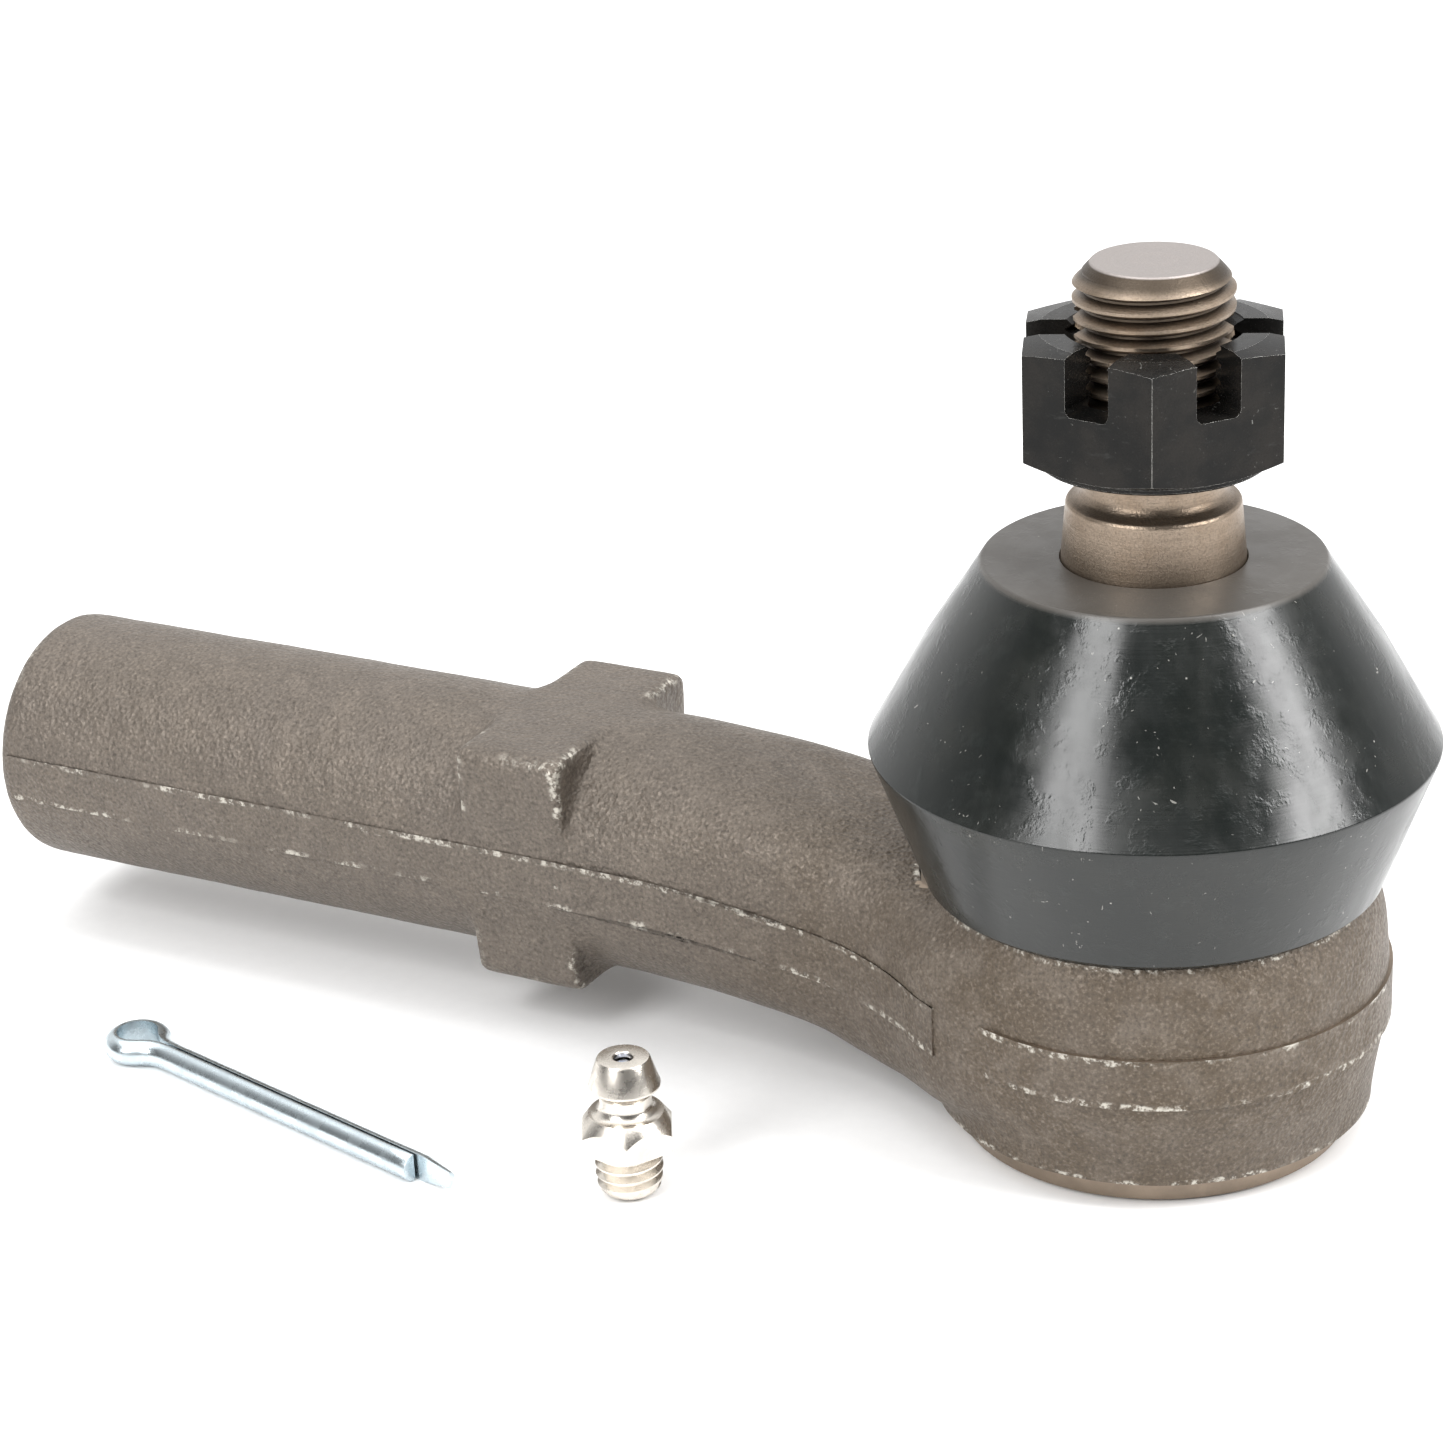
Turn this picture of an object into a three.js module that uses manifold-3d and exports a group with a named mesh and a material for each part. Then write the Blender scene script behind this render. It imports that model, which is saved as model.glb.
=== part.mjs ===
// A greaseable outer tie rod end for a steering linkage, with its loose cotter pin and grease fitting.
// Millimetres, +Z up along the ball stud. The stud's axis is x = y = 0 and the shank runs towards -X.
// Heights below are measured from the bench plane that the housing's rim stands on. The finished group
// is lowered at the end, so that its origin is the centre of the stud's end face.
import * as THREE from "three";
import { mergeVertices } from "three/addons/utils/BufferGeometryUtils.js";
import { ParametricGeometry } from "three/addons/geometries/ParametricGeometry.js";
import Module from "manifold-3d";

// ---- Clearances ----
const gap = 0.3; // between pieces that touch each other on the real part
const overcut = 1; // how far a cutting shape runs past the face it cuts

// ---- Ball and socket, from the ball outwards ----
const ballRadius = 11;
const ballFlatDepth = 3; // how much of the ball's underside is cut flat
const bearingWall = 2.7; // radial thickness of both bearing rings at the ball's middle
const bearingSplit = 0.3; // each ring stops this far from the ball's centre
const upperBearingRise = 4.8; // ball's centre to the top of the upper ring
const coneRise = 3.2; // ball's centre to where the bore starts to close in
const throatRise = 6.8; // ball's centre to the narrowest place
const throatGrip = 1.1; // how far the throat reaches in over the ball
const mouthFlare = 1.3; // how much the opening widens again above the throat
const coverSeat = 0.7; // step in the bore that the cover plate is pressed against
const coverThickness = 2;
const coverBossRadius = 5.4;
const coverBossDrop = 1; // how far the boss reaches down inside the rim
const springWire = 1.2;
const springRadius = 11.6;
const springTurns = 1.25;
const springSpace = 3; // height of the room for the spring

// ---- Housing forging, outside ----
const rimLip = 1.6; // thickness of the crimped lip under the cover plate
const rimGrip = 1.8; // how far that lip reaches in under the plate
const rimWall = 3; // rim round the cover plate
const rimHeight = 2.9;
const footStep = 1.7; // step from the rim out to the foot of the drafted wall
const housingDraft = 1.7; // how much the wall widens up to the parting plane
const partingHeight = 13.6;
const shoulderRound = 2; // rounding above the wall
const throatWall = 1.7; // throat to the flat that the boot seats on
const collarWall = 4.4; // raised collar that centres the boot
const collarHeight = 2.4;

// ---- Shank ----
const shankDiameter = 25.3;
const shankLength = 122.6; // stud axis to the end face
const shankHeight = 17.6; // height of its axis
const shankEdge = 1.4; // rounding of its end
const shankWall = 4.65; // round the female thread's minor diameter
const threadDepth = 52;
const threadMouthWidening = 2.4; // how much wider the lead-in is than the bore
const wrenchCentre = 60.6; // stud axis to the middle of the wrench square
const wrenchLength = 11.6;
const wrenchStandsOut = 0.05; // how far its flats stand out from the round shank
const wrenchCorner = 3.2;
const wrenchBevel = 1;

// ---- Neck between shank and housing, as distances from the stud axis ----
const neckStart = 50;
const neckMiddle = 33;
const neckEnd = 6;
const neckTop = 27; // top of the flattened middle
const neckBottom = 5.6;
const neckHalfWidth = 12;
const neckSquareness = 3.4; // exponent of its section, where 2 is an ellipse

// ---- Ball stud, from its end face down ----
const studHeight = 81.3;
const threadDiameter = 14;
const threadLength = 17.1;
const studChamfer = 1.5;
const reliefLength = 4.6; // between thread and tapered seat
const reliefDepth = 0.7;
const taperLength = 14.6;
const taperGaugeDrop = 5; // top of the seat to the height at which its diameter is given
const taperStep = 2.2; // how much wider it is there than the thread
const taperRatio = 6; // length for each unit of diameter
const taperShoulder = 1.2;
const neckRadius = 6.3;
const neckConeLength = 10; // between the neck and the tapered seat
const taperUndercut = 2; // straight length below the seat
const cotterHoleDrop = 5.7; // end face to the hole's axis

// ---- Dust boot ----
const bootTopRadius = 15.2;
const bootRidgeRadius = 25.45;
const bootRidgeRise = 13.1; // bottom of the boot to its ridge
const bootBaseWall = 5.1;
const bootWall = 3.4;
const bootRidgeLand = 0.5; // height of the narrow band round the ridge
const bootLip = 3.4; // thickness of the top lip that grips the stud

// ---- Cotter pin, lying on the bench ----
const pinDiameter = 2.9;
const pinLegGap = 0.24;
const pinEyeRadius = 2; // inside of the eye
const pinLongLeg = 43; // from the eye's centre
const pinShortLeg = 39.2;
const pinThroat = 7.5; // from the eye's centre to where the legs lie flat together
const pinEye = [-93.7, -30.3];
const pinHeading = -14.2; // direction from eye to tips, in degrees
const cotterClearance = 0.7; // in the stud's hole

// ---- Slotted nut ----
const nutWall = 4; // thread to each flat
const nutSink = 0.5; // how far the nut is run down past the foot of the stud's thread
const nutHeight = 11.7;
const nutSlotClearance = 0.65; // how much wider each slot is than the stud's hole
const nutSlotDepth = 5.3;
const nutSlotCorner = 0.6;
const nutWasherStep = 0.7; // flats to the round bearing face
const nutWasherHeight = 0.5;
const nutChamferStep = 1.05; // flats to the round top face
const nutCornerAngle = -68.4; // direction that one corner points in, in degrees
const nutTopSlope = 0.2; // drop of the top chamfer per mm outwards
const nutBaseSlope = 0.7; // rise of the lower chamfer per mm outwards

// ---- Grease fitting, standing on the bench ----
const fittingPlace = [-36.8, -33.6];
const fittingHeading = 29; // direction of one hexagon corner from -Y, in degrees
const fittingHeight = 13.6;
const fittingHexAcross = 8;
const fittingHexBase = 4.8;
const fittingHexTop = 8.2;
const fittingThread = 6.15;
const fittingThreadDepth = 0.95; // how much narrower the grease port's tapping bore is
const fittingNose = 2.6; // diameter of its rounded lower end
const fittingHeadDiameter = 6.5;
const fittingHeadHeight = 2.8;
const fittingTopDiameter = 4.9;
const fittingWaist = 4.7;
const fittingFoot = 1.6; // diameter of the outlet that the spring stands round
const fittingFloor = 1.6; // thickness of metal under the spring
const checkBallDiameter = 2.2;
const checkBallDrop = 1.5; // top of the fitting to the ball's centre
const checkBallRoom = 0.7; // how much wider the bore is than the ball
const checkBallSeat = 0.4; // how much narrower the mouth is than the ball
const checkWire = 0.36;
const checkTurns = 5;

// ---- Facets ----
const bodyFacets = 40;
const smallFacets = 24;
const arcSteps = 4;
const wireSides = 8;
const pinSteps = 72;

const wasm = await Module();
wasm.setup();

const degrees = (value) => THREE.MathUtils.degToRad(value);

// ---- Solids ----
function solidOf(geometry) {
  const bare = geometry.clone();
  bare.deleteAttribute("normal");
  bare.deleteAttribute("uv");
  const merged = mergeVertices(bare, 1e-4);
  const mesh = new wasm.Mesh({
    numProp: 3,
    vertProperties: new Float32Array(merged.attributes.position.array),
    triVerts: new Uint32Array(merged.index.array),
  });
  return new wasm.Manifold(mesh);
}

function geometryOf(solid) {
  const mesh = solid.getMesh();
  const geometry = new THREE.BufferGeometry();
  geometry.setAttribute("position", new THREE.BufferAttribute(new Float32Array(mesh.vertProperties), 3));
  geometry.setIndex(new THREE.BufferAttribute(new Uint32Array(mesh.triVerts), 1));
  geometry.computeVertexNormals();
  return geometry;
}

// A profile of [radius, height] pairs turned round +Z. It starts and ends on the axis, or closes on itself.
function turned(profile, facets = bodyFacets) {
  const points = profile.map(([radius, height]) => new THREE.Vector2(radius, height));
  return new THREE.LatheGeometry(points, facets).rotateX(Math.PI / 2);
}

// The [radius, height] points of an arc in a profile. Angles are in degrees from the outward direction.
function arc(centre, radius, from, to, steps = arcSteps) {
  return Array.from({ length: steps + 1 }, (_, i) => {
    const angle = degrees(from + ((to - from) * i) / steps);
    return [centre[0] + radius * Math.cos(angle), centre[1] + radius * Math.sin(angle)];
  });
}

// The height above a sphere's centre at which its surface has this radius.
const sphereRise = (sphere, radius) => Math.sqrt(sphere ** 2 - radius ** 2);

// The angle, in degrees, of that point seen from the sphere's centre.
const sphereAngle = (radius, rise) => THREE.MathUtils.radToDeg(Math.atan2(rise, radius));

function drill(diameter, length, facets = smallFacets) {
  return new THREE.CylinderGeometry(diameter / 2, diameter / 2, length, facets).rotateX(Math.PI / 2);
}

function hexagon(across, base, height) {
  const prism = new THREE.CylinderGeometry(across / Math.sqrt(3), across / Math.sqrt(3), height, 6);
  return prism.rotateX(Math.PI / 2).translate(0, 0, base + height / 2);
}

function roundedSquare(width, height, corner) {
  const shape = new THREE.Shape();
  const x = width / 2 - corner;
  const y = height / 2 - corner;
  shape.absarc(x, y, corner, 0, Math.PI / 2);
  shape.absarc(-x, y, corner, Math.PI / 2, Math.PI);
  shape.absarc(-x, -y, corner, Math.PI, 1.5 * Math.PI);
  shape.absarc(x, -y, corner, 1.5 * Math.PI, 2 * Math.PI);
  return shape;
}

class Coil extends THREE.Curve {
  constructor(radius, base, rise, turns) {
    super();
    Object.assign(this, { radius, base, rise, turns });
  }

  getPoint(t, target = new THREE.Vector3()) {
    const angle = 2 * Math.PI * this.turns * t;
    const height = this.base + this.rise * t;
    return target.set(this.radius * Math.cos(angle), this.radius * Math.sin(angle), height);
  }
}

function coilSpring(radius, wire, base, top, turns, stepsPerTurn) {
  const section = new THREE.Shape();
  section.absarc(0, 0, wire / 2, 0, 2 * Math.PI);
  const path = new Coil(radius, base + wire / 2, top - base - wire, turns);
  const steps = Math.round(turns * stepsPerTurn);
  return new THREE.ExtrudeGeometry(section, { extrudePath: path, steps, curveSegments: wireSides / 2 });
}

// ---- Sizes that follow from the driving ones: the socket ----
const ballFlat = ballRadius - ballFlatDepth;
const bearingSphere = ballRadius + gap;
const bearingOuter = bearingSphere + bearingWall;
const socketBore = bearingOuter + gap;
const coverRadius = socketBore + coverSeat;
const coverBase = rimLip + gap;
const coverTop = coverBase + coverThickness;
const springTop = coverTop + gap + springSpace;
const lowerBearingBase = springTop + gap;
const ballHeight = lowerBearingBase + ballFlat; // every tilt turns about the ball's centre
const upperBearingTop = ballHeight + upperBearingRise;
const coneStart = ballHeight + coneRise;
const throatRadius = ballRadius - throatGrip;
const throatHeight = ballHeight + throatRise;
const mouthRadius = throatRadius + mouthFlare;
const coneSlope = (throatHeight - coneStart) / (socketBore - throatRadius);

// ---- The forging ----
const rimBore = coverRadius - rimGrip;
const rimRadius = coverRadius + rimWall;
const footRadius = rimRadius + footStep;
const housingRadius = footRadius + housingDraft;
const shoulderRadius = housingRadius - shoulderRound;
const shoulderHeight = throatHeight + throatWall;
const collarRadius = mouthRadius + collarWall;
const collarTop = shoulderHeight + collarHeight;
const shankRadius = shankDiameter / 2;
const threadBore = shankDiameter - 2 * shankWall;
const threadMouth = threadBore + threadMouthWidening;
const wrenchAcross = shankDiameter + 2 * wrenchStandsOut;

// ---- The stud, boot and nut ----
const threadStart = studHeight - threadLength;
const reliefRadius = threadDiameter / 2 - reliefDepth;
const taperTop = threadStart - reliefLength;
const taperStart = taperTop - taperLength;
const taperGauge = taperTop - taperGaugeDrop;
const taperRadius = (height) => (threadDiameter + taperStep - (height - taperGauge) / taperRatio) / 2;
const studNeckTop = taperStart - taperUndercut - neckConeLength;
const cotterHole = pinDiameter + cotterClearance;
const cotterHoleHeight = studHeight - cotterHoleDrop;
const bootBase = shoulderHeight + gap;
const bootBaseRadius = collarRadius + bootBaseWall;
const bootRidgeHeight = bootBase + bootRidgeRise;
const bootTopHeight = taperGauge;
const nutAcross = threadDiameter + 2 * nutWall;
const nutBase = threadStart - nutSink;
const nutTop = nutBase + nutHeight;
const nutSlotWidth = cotterHole + nutSlotClearance;
const nutWasherRadius = nutAcross / 2 - nutWasherStep;
const nutChamferRadius = nutAcross / 2 - nutChamferStep;
const slotAngle = nutCornerAngle + 30;

// ---- The grease fitting ----
const greasePort = fittingThread - fittingThreadDepth;
const fittingHeadBase = fittingHeight - fittingHeadHeight;
const fittingBore = checkBallDiameter + checkBallRoom;
const fittingMouth = checkBallDiameter - checkBallSeat;
const checkBallHeight = fittingHeight - checkBallDrop;

// ---- Housing ----
function housingBody() {
  return turned([
    [0, 0],
    [rimRadius - 0.5, 0],
    [rimRadius, 0.5],
    [rimRadius + 0.2, rimHeight],
    [footRadius, rimHeight],
    [housingRadius, partingHeight],
    ...arc([shoulderRadius, shoulderHeight - shoulderRound * 2], shoulderRound, 0, 60),
    [shoulderRadius, shoulderHeight - 0.4],
    [shoulderRadius - 0.4, shoulderHeight],
    [collarRadius, shoulderHeight],
    [collarRadius, collarTop],
    [0, collarTop],
  ]);
}

// The room for cover, spring, bearings and ball, open at both ends.
function socketCavity() {
  return turned([
    [0, -overcut],
    [rimBore, -overcut],
    [rimBore, rimLip],
    [coverRadius + gap, rimLip],
    [coverRadius + gap, coverTop + gap],
    [socketBore, coverTop + gap],
    [socketBore, coneStart],
    [throatRadius, throatHeight],
    [mouthRadius, collarTop],
    [mouthRadius, collarTop + overcut],
    [0, collarTop + overcut],
  ]);
}

// Turned round +Z and then laid down, so that heights become distances towards -X.
function alongShank(geometry) {
  return geometry.rotateY(-Math.PI / 2).translate(0, 0, shankHeight);
}

function shank() {
  return alongShank(
    turned([
      [0, neckStart - overcut],
      [shankRadius, neckStart - overcut],
      ...arc([shankRadius - shankEdge, shankLength - shankEdge], shankEdge, 0, 90),
      [0, shankLength],
    ]),
  );
}

function threadedBore() {
  const mouthDepth = (threadMouth - threadBore) / 2;
  const drillPoint = threadBore / 2 / Math.tan(degrees(59));
  return alongShank(
    turned(
      [
        [0, shankLength - threadDepth - drillPoint],
        [threadBore / 2, shankLength - threadDepth],
        [threadBore / 2, shankLength - mouthDepth],
        [threadMouth / 2, shankLength],
        [threadMouth / 2, shankLength + overcut],
        [0, shankLength + overcut],
      ],
      smallFacets,
    ),
  );
}

function wrenchSquare() {
  const across = wrenchAcross - 2 * wrenchBevel;
  const shape = roundedSquare(across, across, wrenchCorner - wrenchBevel);
  const block = new THREE.ExtrudeGeometry(shape, {
    depth: wrenchLength - 2 * wrenchBevel,
    bevelThickness: wrenchBevel,
    bevelSize: wrenchBevel,
    bevelSegments: 2,
    curveSegments: arcSteps,
  });
  return alongShank(block.translate(0, 0, wrenchCentre - wrenchLength / 2 + wrenchBevel));
}

// The machined flat round the collar, and the room that the boot takes up above it.
function bootSeat() {
  return turned([
    [collarRadius, shoulderHeight],
    [bootBaseRadius + gap, shoulderHeight],
    [bootRidgeRadius + gap, bootRidgeHeight],
    [collarRadius, bootRidgeHeight],
    [collarRadius, shoulderHeight],
  ]);
}

// A line through [distance from the stud axis, value] points, read at a distance along the neck.
function neckLine(points) {
  const curve = new THREE.SplineCurve(points.map(([distance, value]) => new THREE.Vector2(distance, value)));
  return (t) => curve.getPoint(t);
}

// The forging swells from the round shank into the housing, with a flattened top. Every section is a
// superellipse between the top and bottom lines. The first and last sections close up to a point.
function neck() {
  const housingStart = housingRadius + 1;
  const top = neckLine([
    [neckStart, shankHeight + shankRadius],
    [neckStart - 8, shankHeight + shankRadius - 0.8],
    [neckMiddle, neckTop],
    [housingStart, shoulderHeight + 0.9],
    [neckEnd, shoulderHeight - 0.4],
  ]);
  const bottom = neckLine([
    [neckStart, shankHeight - shankRadius],
    [neckStart - 8, shankHeight - shankRadius + 0.2],
    [neckMiddle, neckBottom],
    [housingStart, rimHeight],
    [neckEnd, rimHeight + 1],
  ]);
  const side = neckLine([
    [neckStart, shankRadius],
    [neckStart - 8, shankRadius - 0.3],
    [neckMiddle, neckHalfWidth],
    [housingStart, neckHalfWidth + 1],
    [neckEnd, housingRadius - 1],
  ]);
  const square = neckLine([
    [neckStart, 2],
    [neckStart - 8, 2.2],
    [neckMiddle, neckSquareness],
    [housingStart, neckSquareness],
    [neckEnd, neckSquareness],
  ]);
  const stations = 14;
  const around = 36;
  const section = (u, v, target) => {
    const row = Math.round(v * (stations + 2));
    const open = row > 0 && row < stations + 2 ? 1 : 0;
    const t = THREE.MathUtils.clamp((row - 1) / stations, 0, 1);
    const high = top(t);
    const low = bottom(t);
    const power = 2 / square(t).y;
    const angle = 2 * Math.PI * (u % 1);
    const bend = (value) => Math.sign(value) * Math.abs(value) ** power;
    target.set(
      -high.x,
      open * side(t).y * bend(Math.cos(angle)),
      (high.y + low.y) / 2 + (open * (high.y - low.y) * bend(Math.sin(angle))) / 2,
    );
  };
  return new ParametricGeometry(section, around, stations + 2);
}

function housing() {
  return solidOf(housingBody())
    .add(solidOf(neck()))
    .add(solidOf(shank()))
    .add(solidOf(wrenchSquare()))
    .subtract(solidOf(bootSeat()))
    .subtract(solidOf(socketCavity()))
    .subtract(solidOf(threadedBore()));
}

// ---- Inside the socket ----
function coverPlate() {
  const bossBase = coverBase - coverBossDrop;
  return turned([
    [greasePort / 2, bossBase],
    [coverBossRadius, bossBase],
    [coverBossRadius, coverBase],
    [coverRadius, coverBase],
    [coverRadius, coverTop],
    [greasePort / 2, coverTop],
    [greasePort / 2, bossBase],
  ]);
}

function lowerBearing() {
  const innerRadius = sphereRise(bearingSphere, ballFlat);
  const fromAngle = sphereAngle(innerRadius, -ballFlat);
  const toAngle = sphereAngle(bearingSphere, -bearingSplit);
  return turned([
    [innerRadius, lowerBearingBase],
    [bearingOuter, lowerBearingBase],
    [bearingOuter, ballHeight - bearingSplit],
    ...arc([0, ballHeight], bearingSphere, toAngle, fromAngle, 2 * arcSteps),
  ]);
}

function upperBearing() {
  const topRise = upperBearingTop - ballHeight;
  const innerRadius = sphereRise(bearingSphere, topRise);
  const outerAt = (height) => bearingOuter - (height - coneStart) / coneSlope;
  const split = ballHeight + bearingSplit;
  const fromAngle = sphereAngle(innerRadius, topRise);
  const toAngle = sphereAngle(bearingSphere, bearingSplit);
  const inside = arc([0, ballHeight], bearingSphere, fromAngle, toAngle, 2 * arcSteps);
  return turned([
    inside[inside.length - 1],
    [bearingOuter, split],
    [bearingOuter, coneStart],
    [outerAt(upperBearingTop), upperBearingTop],
    ...inside,
  ]);
}

function preloadSpring() {
  return coilSpring(springRadius, springWire, coverTop + gap, springTop, springTurns, 24);
}

// ---- Ball stud ----
function ballStud() {
  const flatRadius = sphereRise(ballRadius, ballFlat);
  const neckRise = sphereRise(ballRadius, neckRadius);
  const fromAngle = sphereAngle(flatRadius, -ballFlat);
  const toAngle = sphereAngle(neckRadius, neckRise);
  const blank = turned([
    [0, ballHeight - ballFlat],
    ...arc([0, ballHeight], ballRadius, fromAngle, toAngle, 3 * arcSteps),
    [neckRadius, studNeckTop],
    [taperRadius(taperStart), taperStart - taperUndercut],
    [taperRadius(taperStart), taperStart],
    [taperRadius(taperTop - taperShoulder), taperTop - taperShoulder],
    ...arc([taperRadius(taperTop) - taperShoulder, taperTop - taperShoulder], taperShoulder, 20, 80, 3),
    [reliefRadius, taperTop + 1],
    [reliefRadius, threadStart - 1],
    [threadDiameter / 2 - gap / 4, threadStart],
    [threadDiameter / 2 - gap / 4, studHeight - studChamfer],
    [threadDiameter / 2 - studChamfer, studHeight],
    [0, studHeight],
  ]);
  const hole = drill(cotterHole, threadDiameter + 2 * overcut)
    .rotateY(Math.PI / 2)
    .rotateZ(degrees(slotAngle + 60))
    .translate(0, 0, cotterHoleHeight);
  return solidOf(blank).subtract(solidOf(hole));
}

// ---- Dust boot ----
function dustBoot() {
  const topBore = taperRadius(bootTopHeight - bootLip) + gap;
  const baseBore = collarRadius + gap;
  const innerRidge = bootRidgeRadius - bootWall;
  return turned([
    [baseBore, bootBase],
    [bootBaseRadius, bootBase],
    [bootRidgeRadius, bootRidgeHeight - bootRidgeLand / 2],
    [bootRidgeRadius, bootRidgeHeight + bootRidgeLand / 2],
    [bootTopRadius, bootTopHeight],
    [topBore, bootTopHeight],
    [topBore, bootTopHeight - bootLip],
    [bootTopRadius - bootWall, bootTopHeight - bootLip],
    [innerRidge, bootRidgeHeight],
    [baseBore, collarTop + bootWall],
    [baseBore, bootBase],
  ]);
}

// ---- Slotted nut ----
function nutSlot(angle) {
  const length = nutAcross;
  const shape = new THREE.Shape();
  const half = nutSlotWidth / 2;
  const floor = -nutSlotDepth;
  shape.moveTo(half, overcut);
  shape.lineTo(-half, overcut);
  shape.absarc(-half + nutSlotCorner, floor + nutSlotCorner, nutSlotCorner, Math.PI, 1.5 * Math.PI);
  shape.absarc(half - nutSlotCorner, floor + nutSlotCorner, nutSlotCorner, 1.5 * Math.PI, 2 * Math.PI);
  shape.closePath();
  const slot = new THREE.ExtrudeGeometry(shape, { depth: 2 * length, bevelEnabled: false, curveSegments: 3 });
  return slot
    .translate(0, 0, -length)
    .rotateX(Math.PI / 2)
    .rotateZ(Math.PI / 2 + angle)
    .translate(0, 0, nutTop);
}

function slottedNut() {
  const cornerRadius = nutAcross / Math.sqrt(3);
  const topDrop = (cornerRadius - nutChamferRadius) * nutTopSlope;
  const baseRise = (cornerRadius - nutWasherRadius) * nutBaseSlope;
  const turnedLimit = turned([
    [0, nutBase],
    [nutWasherRadius, nutBase],
    [nutWasherRadius, nutBase + nutWasherHeight],
    [cornerRadius, nutBase + baseRise],
    [cornerRadius, nutTop - topDrop],
    [nutChamferRadius, nutTop],
    [0, nutTop],
  ]);
  const bore = drill(threadDiameter + gap, nutHeight + 2 * overcut).translate(0, 0, nutBase + nutHeight / 2);
  const prism = hexagon(nutAcross, nutBase - overcut, nutHeight + 2 * overcut);
  prism.rotateZ(degrees(nutCornerAngle) + Math.PI / 2);
  let nut = solidOf(prism).intersect(solidOf(turnedLimit)).subtract(solidOf(bore));
  for (let slot = 0; slot < 3; slot++) {
    nut = nut.subtract(solidOf(nutSlot(degrees(slotAngle + 60 * slot))));
  }
  return nut;
}

// ---- Cotter pin ----
// One half-round wire, folded back on itself round an eye, with its flat side facing inwards.
function cotterPin() {
  const legOffset = pinLegGap / 2;
  const wireRadius = (pinDiameter - pinLegGap) / 2;
  const eyeAngles = [55, 90, 125, 160, 200, 235, 270, 305];
  const eye = eyeAngles.map((angle) => {
    const turn = degrees(angle);
    return new THREE.Vector3(pinEyeRadius * Math.cos(turn), pinEyeRadius * Math.sin(turn), 0);
  });
  const leg = (length, side) => {
    const distances = [length, (length + pinThroat) / 2, pinThroat + 2, pinThroat];
    return distances.map((distance) => new THREE.Vector3(distance, side * legOffset, 0));
  };
  const path = new THREE.CatmullRomCurve3([...leg(pinLongLeg, 1), ...eye, ...leg(pinShortLeg, -1).reverse()]);
  const section = new THREE.Shape();
  section.absarc(0, 0, wireRadius, Math.PI, 2 * Math.PI);
  section.closePath();
  const sweep = { extrudePath: path, steps: pinSteps, curveSegments: wireSides / 2 };
  const wire = new THREE.ExtrudeGeometry(section, sweep);
  return wire.rotateZ(degrees(pinHeading)).translate(pinEye[0], pinEye[1], wireRadius);
}

// ---- Grease fitting ----
function greaseFittingBody() {
  const hexRadius = fittingHexAcross / Math.sqrt(3);
  const threadRadius = fittingThread / 2;
  const headRadius = fittingHeadDiameter / 2;
  const waistRadius = fittingWaist / 2;
  const outline = turned(
    [
      [0, 0],
      [fittingNose / 2, 0],
      [threadRadius, 1.6],
      [threadRadius, fittingHexBase],
      [hexRadius - 0.4, fittingHexBase],
      [hexRadius, fittingHexBase + 0.3],
      [hexRadius, fittingHexTop - 1.5],
      [waistRadius + 0.9, fittingHexTop],
      [waistRadius, fittingHexTop + 0.9],
      [waistRadius, fittingHeadBase - 0.7],
      [headRadius, fittingHeadBase],
      [headRadius, fittingHeadBase + 0.3],
      [fittingTopDiameter / 2, fittingHeight],
      [0, fittingHeight],
    ],
    smallFacets,
  );
  const bore = turned(
    [
      [0, -overcut],
      [fittingFoot / 2, -overcut],
      [fittingFoot / 2, fittingFloor],
      [fittingBore / 2, fittingFloor],
      [fittingBore / 2, checkBallHeight + checkBallDiameter / 4],
      [fittingMouth / 2, checkBallHeight + checkBallDiameter / 2 + gap],
      [fittingMouth / 2, fittingHeight + overcut],
      [0, fittingHeight + overcut],
    ],
    smallFacets,
  );
  const wide = drill(4 * fittingHexAcross, fittingHeight).translate(0, 0, fittingHexTop + fittingHeight / 2);
  const thread = drill(fittingThread + gap / 2, fittingHexBase).translate(0, 0, fittingHexBase / 2);
  const prism = hexagon(fittingHexAcross, fittingHexBase, fittingHexTop - fittingHexBase);
  const limit = solidOf(prism).add(solidOf(wide)).add(solidOf(thread));
  return solidOf(outline).intersect(limit).subtract(solidOf(bore));
}

function greaseCheckSpring() {
  const base = fittingFloor + gap;
  const top = checkBallHeight - checkBallDiameter / 2 - gap / 3;
  const radius = (fittingBore - checkWire) / 2 - gap / 2;
  return coilSpring(radius, checkWire, base, top, checkTurns, 12);
}

// ---- Materials ----
function finish(color, roughness, metalness) {
  return new THREE.MeshStandardMaterial({ color, roughness, metalness });
}


const forgedSteel = finish(0x6e675f, 0.78, 0.55);
const turnedSteel = finish(0x9a8f84, 0.38, 1);
const blackOxide = finish(0x2b2d2e, 0.42, 0.8);
const bootRubber = finish(0x1d2122, 0.36, 0);
const zincPlate = finish(0xb9c6cc, 0.28, 1);
const nickelPlate = finish(0xd8d0c4, 0.18, 1);
const sinteredIron = finish(0x5b5c5e, 0.6, 0.7);
const springSteel = finish(0x6f7276, 0.35, 1);

// ---- Assembly ----
const tieRodEnd = new THREE.Group();

function place(name, shape, material, parent = tieRodEnd) {
  const geometry = shape.isBufferGeometry ? shape : geometryOf(shape);
  const mesh = new THREE.Mesh(geometry, material);
  mesh.name = name;
  parent.add(mesh);
  return mesh;
}

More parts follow.
